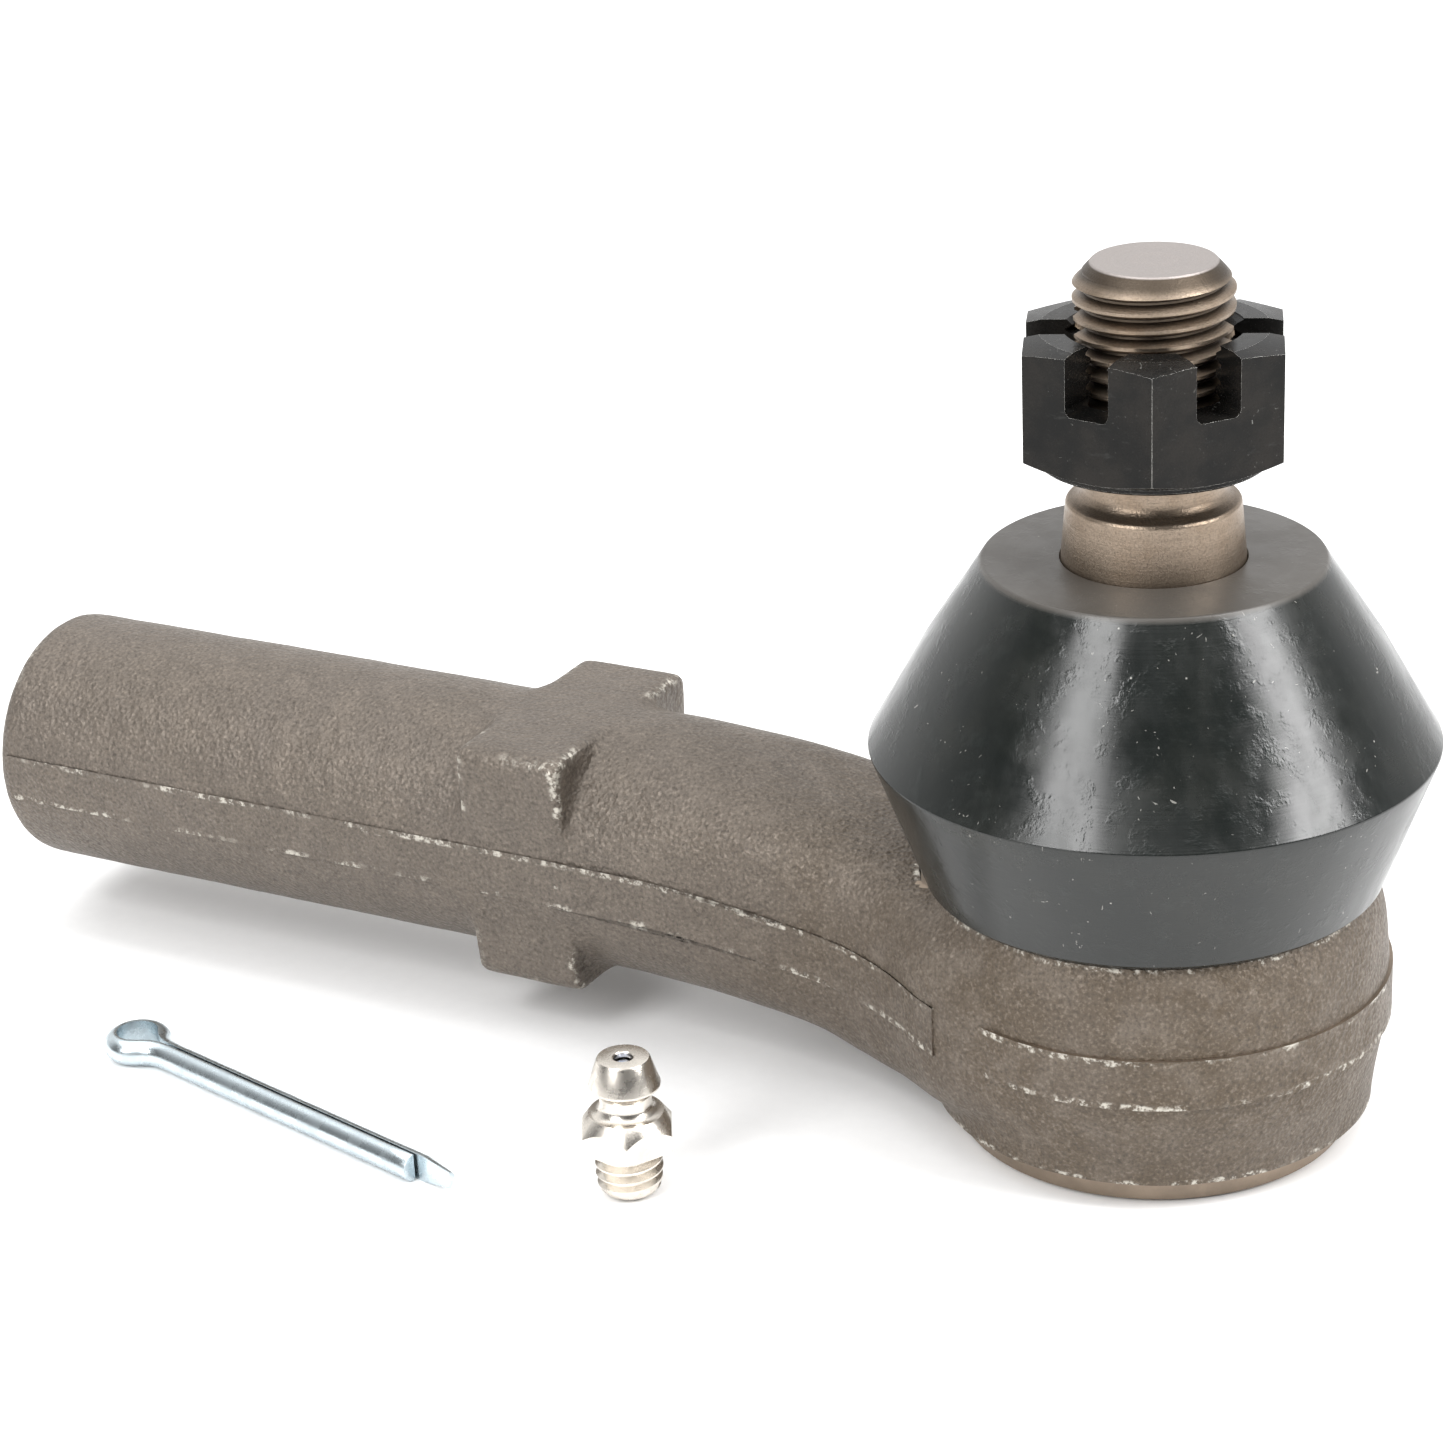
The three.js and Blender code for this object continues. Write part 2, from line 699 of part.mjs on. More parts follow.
place("housing", housing(), forgedSteel);
place("cover_plate", coverPlate(), zincPlate);
place("preload_spring", preloadSpring(), springSteel);
place("lower_bearing", lowerBearing(), sinteredIron);
place("upper_bearing", upperBearing(), sinteredIron);
place("ball_stud", ballStud(), turnedSteel);
place("dust_boot", dustBoot(), bootRubber);
place("slotted_nut", slottedNut(), blackOxide);
place("cotter_pin", cotterPin(), zincPlate);

const greaseFitting = new THREE.Group();
greaseFitting.position.set(fittingPlace[0], fittingPlace[1], 0);
greaseFitting.rotation.z = degrees(fittingHeading);
tieRodEnd.add(greaseFitting);
place("grease_fitting_body", greaseFittingBody(), nickelPlate, greaseFitting);
place("grease_check_spring", greaseCheckSpring(), springSteel, greaseFitting);
const ball = new THREE.SphereGeometry(checkBallDiameter / 2, 16, 10).translate(0, 0, checkBallHeight);
place("grease_check_ball", ball, springSteel, greaseFitting);

tieRodEnd.position.z = -studHeight;

export default tieRodEnd;
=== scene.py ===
"""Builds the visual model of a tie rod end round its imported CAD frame.

The part is a forging with a threaded shank, a ball stud in a greased socket, a rubber dust boot and a
slotted nut, with its cotter pin and grease fitting loose beside it. Everything is in metres in the part's
own frame: +Z runs up the stud, the stud's end face is the origin and the shank points towards -X. The word
height, below, means the height above the bench that the part lies on.
"""

import math

import bpy
import numpy as np
from bpy.props import FloatProperty, FloatVectorProperty, IntProperty, PointerProperty
from mathutils import Matrix, Vector


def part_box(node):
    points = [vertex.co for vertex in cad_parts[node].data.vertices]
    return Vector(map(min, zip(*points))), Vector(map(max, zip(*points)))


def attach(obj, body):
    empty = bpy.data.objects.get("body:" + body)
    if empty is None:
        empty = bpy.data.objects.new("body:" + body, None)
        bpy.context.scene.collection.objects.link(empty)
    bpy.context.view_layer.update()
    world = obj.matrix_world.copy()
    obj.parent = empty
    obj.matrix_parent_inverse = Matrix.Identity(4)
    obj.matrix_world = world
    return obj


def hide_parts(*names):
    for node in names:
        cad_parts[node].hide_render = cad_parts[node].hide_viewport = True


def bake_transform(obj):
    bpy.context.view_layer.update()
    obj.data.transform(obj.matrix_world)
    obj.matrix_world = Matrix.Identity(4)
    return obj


bl_info = {
    "name": "Tie Rod End",
    "version": (1, 0, 0),
    "blender": (4, 5, 0),
    "location": "3D View > Sidebar > Tie Rod End",
    "description": "Models a tie rod end with its ball joint, dust boot, nut, cotter pin and grease fitting",
    "category": "Add Mesh",
}

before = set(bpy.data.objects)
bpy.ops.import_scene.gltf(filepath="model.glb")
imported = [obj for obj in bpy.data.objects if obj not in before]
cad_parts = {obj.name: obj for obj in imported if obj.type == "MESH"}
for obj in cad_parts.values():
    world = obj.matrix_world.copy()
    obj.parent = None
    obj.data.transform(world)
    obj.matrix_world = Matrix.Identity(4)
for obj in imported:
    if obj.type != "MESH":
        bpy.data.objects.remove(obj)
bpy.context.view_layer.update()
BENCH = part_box("housing")[0].z
FULL_TURN = 2 * math.pi
MM = 0.001


def height_of(node, end):
    """Height above the bench of a CAD node's lowest (end 0) or highest (end 1) point."""
    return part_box(node)[end].z - BENCH


def reach_of(node):
    """Largest radius of a CAD node that is turned about the stud's axis."""
    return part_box(node)[1].y


# ---- Sizes and colours that a user would change ----


def length(name, description, default):
    return FloatProperty(name=name, description=description, default=default, precision=5, unit="LENGTH")


def angle(name, description, degrees):
    return FloatProperty(name=name, description=description, default=math.radians(degrees), unit="ROTATION")


def strength(name, description, default, unit="POWER"):
    return FloatProperty(name=name, description=description, default=default, min=0, unit=unit)


def colour(name, description, default):
    return FloatVectorProperty(
        name=name, description=description, default=default, min=0, max=1, subtype="COLOR",
    )


class ForgingSizes(bpy.types.PropertyGroup):
    """Outer shape of the housing forging"""

    shank_radius: length("Shank radius", "Radius of the round shank", 0.01265)
    shank_axis: length("Shank axis height", "Height of the shank's axis above the bench", 0.0176)
    shank_edge: length("Shank edge", "Rounding of the shank's end", 0.0016)
    square_middle: length("Wrench square place", "Stud axis to the middle of the wrench square", 0.0606)
    square_length: length("Wrench square length", "Length of the square along the shank", 0.0114)
    square_across: length("Wrench square width", "Distance across its flats", 0.0260)
    square_corner: length("Wrench square corner", "Rounding of its four corners", 0.0018)
    voxel: length("Surface step", "Edge length of the forged surface's mesh", 0.0005)
    softness: IntProperty(
        name="Softness", description="Rounds of smoothing that give the forged fillets", default=12, min=0,
    )
    band_height: length("Parting band height", "Height of the band where the flash was trimmed", 0.0048)


class StudSizes(bpy.types.PropertyGroup):
    """Ball stud"""

    ball_height: length("Ball height", "Height of the ball's centre above the bench", 0.0155)
    pitch: length("Pitch", "Pitch of the stud's thread", 0.0015)
    thread_radius: length("Thread radius", "Radius over the thread's crests", 0.0070)
    thread_foot: length("Thread foot", "Height at which the cut thread starts", 0.0630)
    cotter_hole: length("Cotter hole", "Diameter of the cotter hole", 0.0036)
    hole_height: length("Cotter hole height", "Height of the cotter hole's axis", 0.0756)
    hole_angle: angle("Cotter hole direction", "Direction of the cotter hole from +X", 21.6)


class BootSizes(bpy.types.PropertyGroup):
    """Dust boot"""

    ridge_height: length("Ridge height", "Height of the widest part above the bench", 0.0374)
    foot_radius: length("Foot radius", "Outer radius where it seats on the forging", 0.0207)
    top_radius: length("Top radius", "Outer radius of the flat top", 0.0152)
    wall: length("Wall", "Thickness of the rubber", 0.0034)
    edge: length("Edge", "Rounding of the ridge and the top", 0.0003)


class NutSizes(bpy.types.PropertyGroup):
    """Slotted nut"""

    across: length("Across flats", "Distance across the nut's flats", 0.022)
    corner_angle: angle("Corner direction", "Direction of one corner from +X", -68.4)
    chamfer: length("Chamfer drop", "How far the top's chamfer reaches down at the corners", 0.00055)
    slot_depth: length("Slot depth", "Depth of the slots", 0.0053)
    slot_width: length("Slot width", "Width of the slots", 0.00425)
    slot_corner: length("Slot corner", "Rounding at the foot of the slots", 0.0006)
    edge: length("Edge", "Rounding of the nut's edges", 0.0003)


class PinSizes(bpy.types.PropertyGroup):
    """Cotter pin"""

    leg_gap: length("Leg gap", "Gap between the two legs", 0.00024)
    eye_radius: length("Eye radius", "Inner radius of the eye", 0.0020)
    throat: length("Throat", "Eye's centre to where the legs lie together", 0.0075)
    long_leg: length("Long leg", "Eye's centre to the longer leg's tip", 0.043)
    short_leg: length("Short leg", "Eye's centre to the shorter leg's tip", 0.0392)
    heading: angle("Heading", "Direction from the eye to the tips, from +X", -14.2)
    eye_x: length("Eye X", "Place of the eye's centre along X", -0.0937)
    eye_y: length("Eye Y", "Place of the eye's centre along Y", -0.0303)


class FittingSizes(bpy.types.PropertyGroup):
    """Grease fitting"""

    across: length("Across flats", "Distance across the fitting's flats", 0.008)
    thread_radius: length("Thread radius", "Radius over the fitting's thread", 0.00307)


class Colours(bpy.types.PropertyGroup):
    """Base colours of the finishes"""

    forging: colour("Forging", "Shot-blasted forged steel", (0.118, 0.098, 0.079))
    turned: colour("Turned steel", "Bare turned steel", (0.30, 0.240, 0.185))
    oxide: colour("Black oxide", "Slotted nut", (0.0115, 0.0115, 0.011))
    rubber: colour("Rubber", "Dust boot", (0.0075, 0.0092, 0.0085))
    zinc: colour("Zinc", "Cotter pin and cover plate", (0.62, 0.70, 0.74))
    nickel: colour("Nickel", "Grease fitting", (0.78, 0.73, 0.66))
    sintered: colour("Sintered iron", "Bearing rings", (0.20, 0.20, 0.205))
    spring: colour("Spring steel", "Springs and check ball", (0.46, 0.47, 0.49))


class StageSettings(bpy.types.PropertyGroup):
    """Camera, floor and lights"""

    azimuth: angle("Azimuth", "Camera's turn round the part from looking along +Y", 29.208)
    elevation: angle("Elevation", "Camera's height above the horizon", 23.170)
    roll: angle("Roll", "Camera's turn about its own line of sight", -2.665)
    distance: length("Distance", "Camera to the point that it looks at", 0.364644)
    lens: FloatProperty(
        name="Lens", description="Focal length on a 36 mm sensor", default=95.77, unit="CAMERA",
    )
    aim_x: length("Aim X", "Place along X of the point that the camera looks at", -0.043881)
    aim_height: length("Aim height", "Height of the point that the camera looks at", 0.031383)
    floor: colour("Floor", "Pale paper sweep", (0.94, 0.94, 0.94))
    overhead: strength("Overhead light", "Strength of the wide overhead light", 2.2, unit="NONE")
    left_box: strength("Left box", "Power of the soft box on the left", 6.6)
    right_box: strength("Right box", "Power of the soft box on the right", 9.0)


# ---- Modelling helpers ----


def deselect():
    if bpy.context.object and bpy.context.object.mode != "OBJECT":
        bpy.ops.object.mode_set(mode="OBJECT")
    bpy.ops.object.select_all(action="DESELECT")


def pick(*objects):
    deselect()
    for obj in objects:
        obj.select_set(True)
    bpy.context.view_layer.objects.active = objects[0]


def edit(obj):
    pick(obj)
    bpy.ops.object.mode_set(mode="EDIT")
    bpy.ops.mesh.select_all(action="SELECT")


def close_edit():
    bpy.ops.object.mode_set(mode="OBJECT")


def turn_out():
    """Turns every face of the mesh in edit mode outward, and leaves edit mode."""
    bpy.ops.mesh.select_all(action="SELECT")
    bpy.ops.mesh.normals_make_consistent(inside=False)
    close_edit()


def drawn_out(*moves):
    """Extrudes what is selected by each move in turn."""
    for move in moves:
        bpy.ops.mesh.extrude_region_move(TRANSFORM_OT_translate={"value": move})


def settle(obj):
    """Puts the object at the origin, unturned and unscaled, with its place in its mesh."""
    pick(obj)
    bpy.ops.object.transform_apply(location=True, rotation=True, scale=True)


def chain(name, places, closed=False):
    """Makes a chain of edges through points, and leaves it in edit mode."""
    deselect()
    bpy.ops.mesh.primitive_plane_add(size=MM)
    obj = bpy.context.object
    obj.name = name
    bpy.ops.object.mode_set(mode="EDIT")
    bpy.ops.mesh.merge(type="CENTER")
    bpy.ops.transform.translate(value=places[0])
    following = places[1:] + places[:1] if closed else places[1:]
    drawn_out(*(there - here for here, there in zip(places, following)))
    bpy.ops.mesh.select_all(action="SELECT")
    if closed:
        bpy.ops.mesh.remove_doubles(threshold=1e-6)
    return obj


def outline(name, points, closed=False):
    """A chain in the XZ plane through points given as (distance from the axis, height)."""
    return chain(name, [Vector((x, 0, BENCH + z)) for x, z in points], closed)


def turned(name, points, steps=128, closed=False):
    """Turns an outline round the stud's axis, as on a lathe. It starts and ends on the axis, or is closed."""
    obj = outline(name, points, closed)
    bpy.ops.mesh.spin(steps=steps, angle=FULL_TURN, center=(0, 0, 0), axis=(0, 0, 1))
    bpy.ops.mesh.select_all(action="SELECT")
    bpy.ops.mesh.remove_doubles(threshold=2e-6)
    turn_out()
    return obj


def bow(centre, radius, first, last, steps=6):
    """The points of an arc in an outline. Angles are in degrees from the outward direction."""
    angles = [math.radians(first + (last - first) * i / steps) for i in range(steps + 1)]
    return [(centre[0] + radius * math.cos(a), centre[1] + radius * math.sin(a)) for a in angles]


def shaped(obj, kind, **settings):
    """Adds a modifier with these settings and applies it."""
    pick(obj)
    modifier = obj.modifiers.new(kind.lower(), kind)
    for key, value in settings.items():
        setattr(modifier, key, value)
    bpy.ops.object.modifier_apply(modifier=modifier.name)
    return obj


def rounded(obj, width, segments=2, angle=30, material=-1):
    """Rounds every edge that is sharper than the angle. The new faces can take another of its materials."""
    return shaped(
        obj, "BEVEL", width=width, segments=segments, limit_method="ANGLE", angle_limit=math.radians(angle),
        use_clamp_overlap=True, harden_normals=False, material=material,
    )


def cut(obj, tool, operation="DIFFERENCE"):
    """Cuts with, joins to or keeps what is common with the tool, which is then removed."""
    shaped(obj, "BOOLEAN", operation=operation, solver="MANIFOLD", object=tool)
    bpy.data.meshes.remove(tool.data)
    return obj


def helix(name, section, pitch, low, high, steps=72):
    """A closed section in the XZ plane run up a right-hand helix from one height to another."""
    turns = math.ceil((high - low) / pitch)
    obj = outline(name, [(x, low + z) for x, z in section], closed=True)
    close_edit()
    shaped(
        obj, "SCREW", angle=FULL_TURN, screw_offset=pitch, iterations=turns, steps=steps, render_steps=steps,
        use_merge_vertices=True, merge_threshold=1e-7, use_smooth_shade=False,
    )
    edit(obj)
    bpy.ops.mesh.select_all(action="DESELECT")
    bpy.ops.mesh.select_non_manifold()
    bpy.ops.mesh.fill(use_beauty=False)
    turn_out()
    return obj


def thread_groove(crest, pitch, low, high, outward=True, steps=72):
    """The V groove of a 60 degree thread. Its open side runs a little past the crest."""
    depth = 0.61 * pitch
    side = 1 if outward else -1
    past = 0.12 * pitch
    half_root = pitch / 16
    half_mouth = half_root + (depth + past) * math.tan(math.radians(30))
    inner = crest - side * depth
    outer = crest + side * past
    section = [(inner, -half_root), (outer, -half_mouth), (outer, half_mouth), (inner, half_root)]
    return helix("groove", section, pitch, low, high, steps)


def flow(points, x):
    """Reads a smooth line through (place, value) points at x. The places are in rising order."""
    last = len(points) - 2
    i = min(max(sum(place <= x for place, _ in points) - 1, 0), last)
    (x1, y1), (x2, y2) = points[i], points[i + 1]
    x0, y0 = points[max(i - 1, 0)]
    x3, y3 = points[min(i + 2, last + 1)]
    t = (min(max(x, x1), x2) - x1) / (x2 - x1)
    start = (y2 - y0) / (x2 - x0) * (x2 - x1)
    finish = (y3 - y1) / (x3 - x1) * (x2 - x1)
    return (
        (2 * t**3 - 3 * t**2 + 1) * y1 + (t**3 - 2 * t**2 + t) * start
        + (3 * t**2 - 2 * t**3) * y2 + (t**3 - t**2) * finish
    )


def laid_down(obj, axis_height):
    """Lays a turned piece down along the shank, so that what was its height is distance towards -X."""
    pick(obj)
    obj.rotation_euler = (0, -math.pi / 2, 0)
    obj.location = (BENCH, 0, BENCH + axis_height)
    settle(obj)
    return obj


def tube(name, places, section, around=96):
    """A closed tube. section(place, angle) gives its points, by place along it and by angle round it."""
    deselect()
    bpy.ops.mesh.primitive_circle_add(
        vertices=around, radius=MM, fill_type="NGON", rotation=(0, math.pi / 2, 0), location=(places[0], 0, 0)
    )
    obj = bpy.context.object
    obj.name = name
    settle(obj)
    edit(obj)
    drawn_out(*((there - here, 0, 0) for here, there in zip(places, places[1:])))
    close_edit()
    for vertex in obj.data.vertices:
        vertex.co = section(vertex.co.x, math.atan2(vertex.co.z, vertex.co.y))
    edit(obj)
    turn_out()
    return obj


# ---- Finishes ----


class Finish:
    """A material built up node by node. Sizes are in metres on the piece."""

    def __init__(self, name, metallic, **uniform):
        self.material = bpy.data.materials.new(name)
        self.material.use_nodes = True
        self.tree = self.material.node_tree
        self.shader = self.tree.nodes["Principled BSDF"]
        self.place = self.tree.nodes.new("ShaderNodeTexCoord").outputs["Object"]
        self.shader.inputs["Metallic"].default_value = metallic
        for socket, value in uniform.items():
            self.shader.inputs[socket.replace("_", " ")].default_value = value

    def node(self, kind, **settings):
        made = self.tree.nodes.new("ShaderNode" + kind)
        for key, value in settings.items():
            setattr(made, key, value)
        return made

    def plug(self, socket, value):
        if isinstance(value, bpy.types.NodeSocket):
            self.tree.links.new(value, socket)
        elif socket.type == "RGBA":
            socket.default_value = (*value, 1)
        else:
            socket.default_value = value

    def wear(self):
        return self.node("Attribute", attribute_name="edge_wear").outputs["Fac"]

    def vector(self, operation, first, second=None):
        made = self.node("VectorMath", operation=operation)
        self.plug(made.inputs[0], first)
        if second is not None:
            self.plug(made.inputs[1], second)
        return made.outputs["Value" if operation == "LENGTH" else "Vector"]

    def axes(self, where=None):
        parts = self.node("SeparateXYZ")
        self.plug(parts.inputs[0], where or self.place)
        return parts.outputs

    def rings(self, centre=(0, 0)):
        """Coordinates that stay the same all the way round a turned piece, with the radius as X."""
        moved = self.vector("SUBTRACT", self.place, (centre[0], centre[1], 0))
        joined = self.node("CombineXYZ")
        self.plug(joined.inputs["X"], self.vector("LENGTH", self.vector("MULTIPLY", moved, (1, 1, 0))))
        self.plug(joined.inputs["Z"], self.axes(moved)["Z"])
        return joined.outputs[0]

    def stretched(self, scale):
        """Coordinates with each axis multiplied, so that a pattern gets longer or shorter along it."""
        return self.vector("MULTIPLY", self.place, scale)

    def noise(self, size, detail=3, rough=0.55, where=None, twist=0):
        made = self.node("TexNoise")
        self.plug(made.inputs["Vector"], where or self.place)
        settings = {"Scale": 1 / size, "Detail": detail, "Roughness": rough, "Distortion": twist}
        for socket, value in settings.items():
            self.plug(made.inputs[socket], value)
        return made.outputs["Fac"]

    def cells(self, size):
        made = self.node("TexVoronoi")
        self.plug(made.inputs["Vector"], self.place)
        self.plug(made.inputs["Scale"], 1 / size)
        return made.outputs["Distance"]

    def between(self, value, low, high, start=0, end=1):
        """Follows value from start, where it is low, to end, where it is high."""
        made = self.node("MapRange", interpolation_type="SMOOTHSTEP")
        for socket, number in zip(made.inputs, (value, low, high, start, end)):
            self.plug(socket, number)
        return made.outputs[0]

    def sum(self, first, second, operation="ADD"):
        made = self.node("Math", operation=operation)
        self.plug(made.inputs[0], first)
        self.plug(made.inputs[1], second)
        return made.outputs[0]

    def product(self, first, second):
        return self.sum(first, second, "MULTIPLY")

    def mix(self, factor, first, second):
        made = self.node("Mix", data_type="RGBA")
        self.plug(made.inputs["Factor"], factor)
        self.plug(made.inputs["A"], first)
        self.plug(made.inputs["B"], second)
        return made.outputs["Result"]

    def bump(self, relief, depth, under=None):
        made = self.node("Bump")
        self.plug(made.inputs["Height"], relief)
        self.plug(made.inputs["Distance"], depth)
        if under:
            self.plug(made.inputs["Normal"], under)
        return made.outputs["Normal"]

    def done(self, colour, roughness, normal=None):
        self.plug(self.shader.inputs["Base Color"], colour)
        self.plug(self.shader.inputs["Roughness"], roughness)
        if normal:
            self.plug(self.shader.inputs["Normal"], normal)
        return self.material


def shade(colour, amount):
    return tuple(min(c * amount, 1) for c in colour)


def tinted(colour, *amounts):
    """The colour with red, green and blue each multiplied by its own amount."""
    return tuple(c * amount for c, amount in zip(colour, amounts))


def chosen(name):
    return getattr(bpy.context.scene.tie_rod_colours, name)


def forged_steel():
    """Shot-blasted forging: a fine grain, cloudy brown and grey, rubbed pale where edges stand out."""
    base = chosen("forging")
    finish = Finish("Forged steel", metallic=0.35)
    along = finish.axes()["X"]
    cloud = finish.between(finish.noise(0.011, 4, 0.6), 0.35, 0.65)
    patch = finish.between(finish.noise(0.0032, 3, 0.6), 0.4, 0.7)
    grain = finish.noise(0.00033, 2, 0.6)
    pits = finish.cells(0.00055)
    warm = finish.mix(finish.between(along, -0.055, -0.012), base, tinted(base, 0.76, 0.68, 0.56))
    cloudy = finish.mix(finish.product(cloud, 0.35), warm, tinted(base, 1.12, 1.14, 1.2))
    patchy = finish.mix(finish.product(patch, 0.45), cloudy, shade(base, 1.4))
    speckled = finish.mix(finish.between(grain, 0.50, 0.78, 0, 0.6), patchy, shade(base, 2.0))
    shadowed = finish.mix(finish.between(grain, 0.25, 0.5, 0.6, 0), speckled, shade(base, 0.4))
    chance = finish.between(finish.noise(0.0048, 3, 0.6), 0.38, 0.6, 0.25, 1)
    place_for_wear = finish.product(chance, finish.between(along, -0.05, -0.02, 0.75, 1))
    edges = finish.between(finish.product(finish.wear(), place_for_wear), 0.16, 0.6)
    rubbed = finish.product(edges, finish.between(finish.noise(0.0008, 4, 0.7), 0.47, 0.62))
    colour = finish.mix(rubbed, shadowed, (0.50, 0.47, 0.41))
    dull = finish.sum(finish.between(grain, 0.3, 0.7, 0.56, 0.42), finish.product(rubbed, -0.1))
    uneven = finish.bump(finish.noise(0.0019, 3, 0.6), 0.00034)
    pitted = finish.bump(pits, 0.00012, uneven)
    return finish.done(colour, dull, finish.bump(grain, 0.00010, pitted))


def bare_steel():
    """Machined steel on the forging, with fine tool marks."""
    base = chosen("turned")
    finish = Finish("Machined steel", metallic=0.85)
    marks = finish.noise(0.00016, 2, 0.5, finish.rings())
    stain = finish.between(finish.noise(0.006, 4, 0.6), 0.35, 0.7)
    colour = finish.mix(stain, shade(base, 0.8), shade(base, 1.1))
    fine = finish.noise(0.0003, 2, 0.5)
    return finish.done(colour, finish.between(fine, 0.3, 0.7, 0.34, 0.46), finish.bump(marks, 0.00002))


def turned_steel():
    """Warm brownish steel straight from the lathe, with turned lines and light stains, and painted shade in
    the thread's roots.
    """
    base = chosen("turned")
    finish = Finish("Turned steel", metallic=1)
    rings = finish.rings()
    lines = finish.noise(0.00011, 2, 0.5, rings)
    bands = finish.noise(0.0011, 3, 0.6, rings)
    stain = finish.between(finish.noise(0.0042, 4, 0.65), 0.38, 0.7)
    grain = finish.noise(0.00022, 3, 0.65)
    brown = tinted(base, 0.62, 0.54, 0.45)
    toned = finish.mix(finish.product(stain, 0.6), base, brown)
    lined = finish.mix(finish.between(lines, 0.35, 0.65, 0.0, 0.3), toned, shade(base, 1.3))
    grainy = finish.mix(finish.between(grain, 0.4, 0.75, 0, 0.45), lined, shade(base, 0.45))
    parts = finish.axes(rings)
    radius, height = parts["X"], parts["Z"]
    thread_foot = BENCH + bpy.context.scene.tie_rod_stud.thread_foot
    threaded = finish.between(height, thread_foot, thread_foot + MM)
    # Painted shade: the thread's roots are painted much darker, darkest at the root, as shade in the grooves.
    painted_root_shade = finish.product(finish.between(radius, 0.0061, 0.0069, 0.85, 0), threaded)
    root_shaded = finish.mix(painted_root_shade, grainy, shade(base, 0.16))
    faced = finish.between(height, -0.0002, -0.00005)
    colour = finish.mix(faced, root_shaded, finish.mix(grain, (0.32, 0.285, 0.27), (0.48, 0.44, 0.42)))
    dull = finish.sum(finish.between(bands, 0.3, 0.7, 0.26, 0.38), finish.product(grain, 0.16))
    scratched = finish.bump(lines, 0.000016, finish.bump(grain, 0.00004))
    return finish.done(colour, dull, scratched)


def black_oxide():
    """Black oxide on steel, semi-gloss, with faint wrench marks and a little dust."""
    base = chosen("oxide")
    finish = Finish("Black oxide", metallic=0.25, Specular_IOR_Level=0.14)
    cloud = finish.between(finish.noise(0.0045, 4, 0.6), 0.35, 0.7)
    grain = finish.noise(0.00025, 2, 0.6)
    scuffs = finish.noise(0.0011, 4, 0.7, finish.stretched((0.35, 0.35, 1.6)))
    dusty = finish.between(finish.noise(0.0009, 3, 0.65, twist=2.5), 0.69, 0.73, 0, 0.55)
    toned = finish.mix(cloud, shade(base, 0.75), tinted(base, 1.5, 1.35, 1.25))
    scuffed = finish.mix(finish.between(scuffs, 0.6, 0.72, 0, 0.5), toned, shade(base, 3.2))
    colour = finish.mix(dusty, scuffed, (0.32, 0.32, 0.3))
    dull = finish.sum(finish.between(grain, 0.3, 0.7, 0.18, 0.27), finish.product(cloud, 0.08))
    return finish.done(colour, dull, finish.bump(grain, 0.00001, finish.bump(scuffs, 0.00001)))


def rubbed_and_highlighted_oxide():
    """The nut's edges, where the black is rubbed thin, brightened to near-white metal as a painted highlight
    along the rounded edges.
    """
    base = chosen("oxide")
    finish = Finish("Worn oxide edge", metallic=0.9)
    worn = finish.between(finish.noise(0.0009, 4, 0.7), 0.30, 0.48)
    # Painted highlight: the rubbed edge colour is near white, brighter than bare steel, standing in for the
    # highlights on the rounded edges.
    colour = finish.mix(worn, shade(base, 8), (0.92, 0.90, 0.85))
    return finish.done(colour, finish.between(worn, 0, 1, 0.34, 0.42))


def boot_rubber():
    """Moulded black rubber, glossy with fine lines round it, hazy patches and specks of dust, and its flat
    top painted lighter as a painted reflection of the backdrop.
    """
    base = chosen("rubber")
    finish = Finish("Boot rubber", metallic=0, Specular_IOR_Level=0.48)
    rings = finish.rings()
    lines = finish.noise(0.00022, 3, 0.6, rings)
    top = BENCH + height_of("dust_boot", 1)
    upper_face = finish.between(finish.axes()["Z"], top - 0.0006, top - 0.0001)
    haze = finish.between(finish.noise(0.0085, 5, 0.6, twist=0.4), 0.40, 0.75)
    bloom = finish.between(finish.noise(0.0021, 4, 0.7), 0.5, 0.72)
    streak = finish.noise(0.0035, 3, 0.6, finish.stretched((1, 1, 0.18)))
    dust = finish.between(finish.cells(0.0034), 0.0, 0.04, 1, 0)
    lint = finish.between(finish.noise(0.0013, 2, 0.5, twist=3.0), 0.735, 0.75, 0, 0.45)
    toned = finish.mix(haze, base, tinted(base, 1.6, 1.45, 1.35))
    bloomed = finish.mix(finish.product(bloom, 0.3), toned, shade(base, 2.4))
    dusty = finish.mix(finish.sum(dust, lint, "MAXIMUM"), bloomed, (0.38, 0.37, 0.34))
    # Painted reflection: the flat top is painted lighter and warmer for the backdrop that it mirrors at a
    # grazing angle; its roughness is raised there as well.
    colour = finish.mix(finish.product(upper_face, 0.55), dusty, (0.11, 0.098, 0.086))
    gloss = finish.sum(finish.between(streak, 0.35, 0.65, 0.13, 0.22), finish.product(haze, 0.09))
    dull = finish.sum(finish.sum(gloss, finish.product(lines, 0.06)), finish.product(upper_face, 0.14))
    relief = finish.bump(bloom, 0.000016, finish.bump(lines, 0.000008))
    return finish.done(colour, dull, relief)


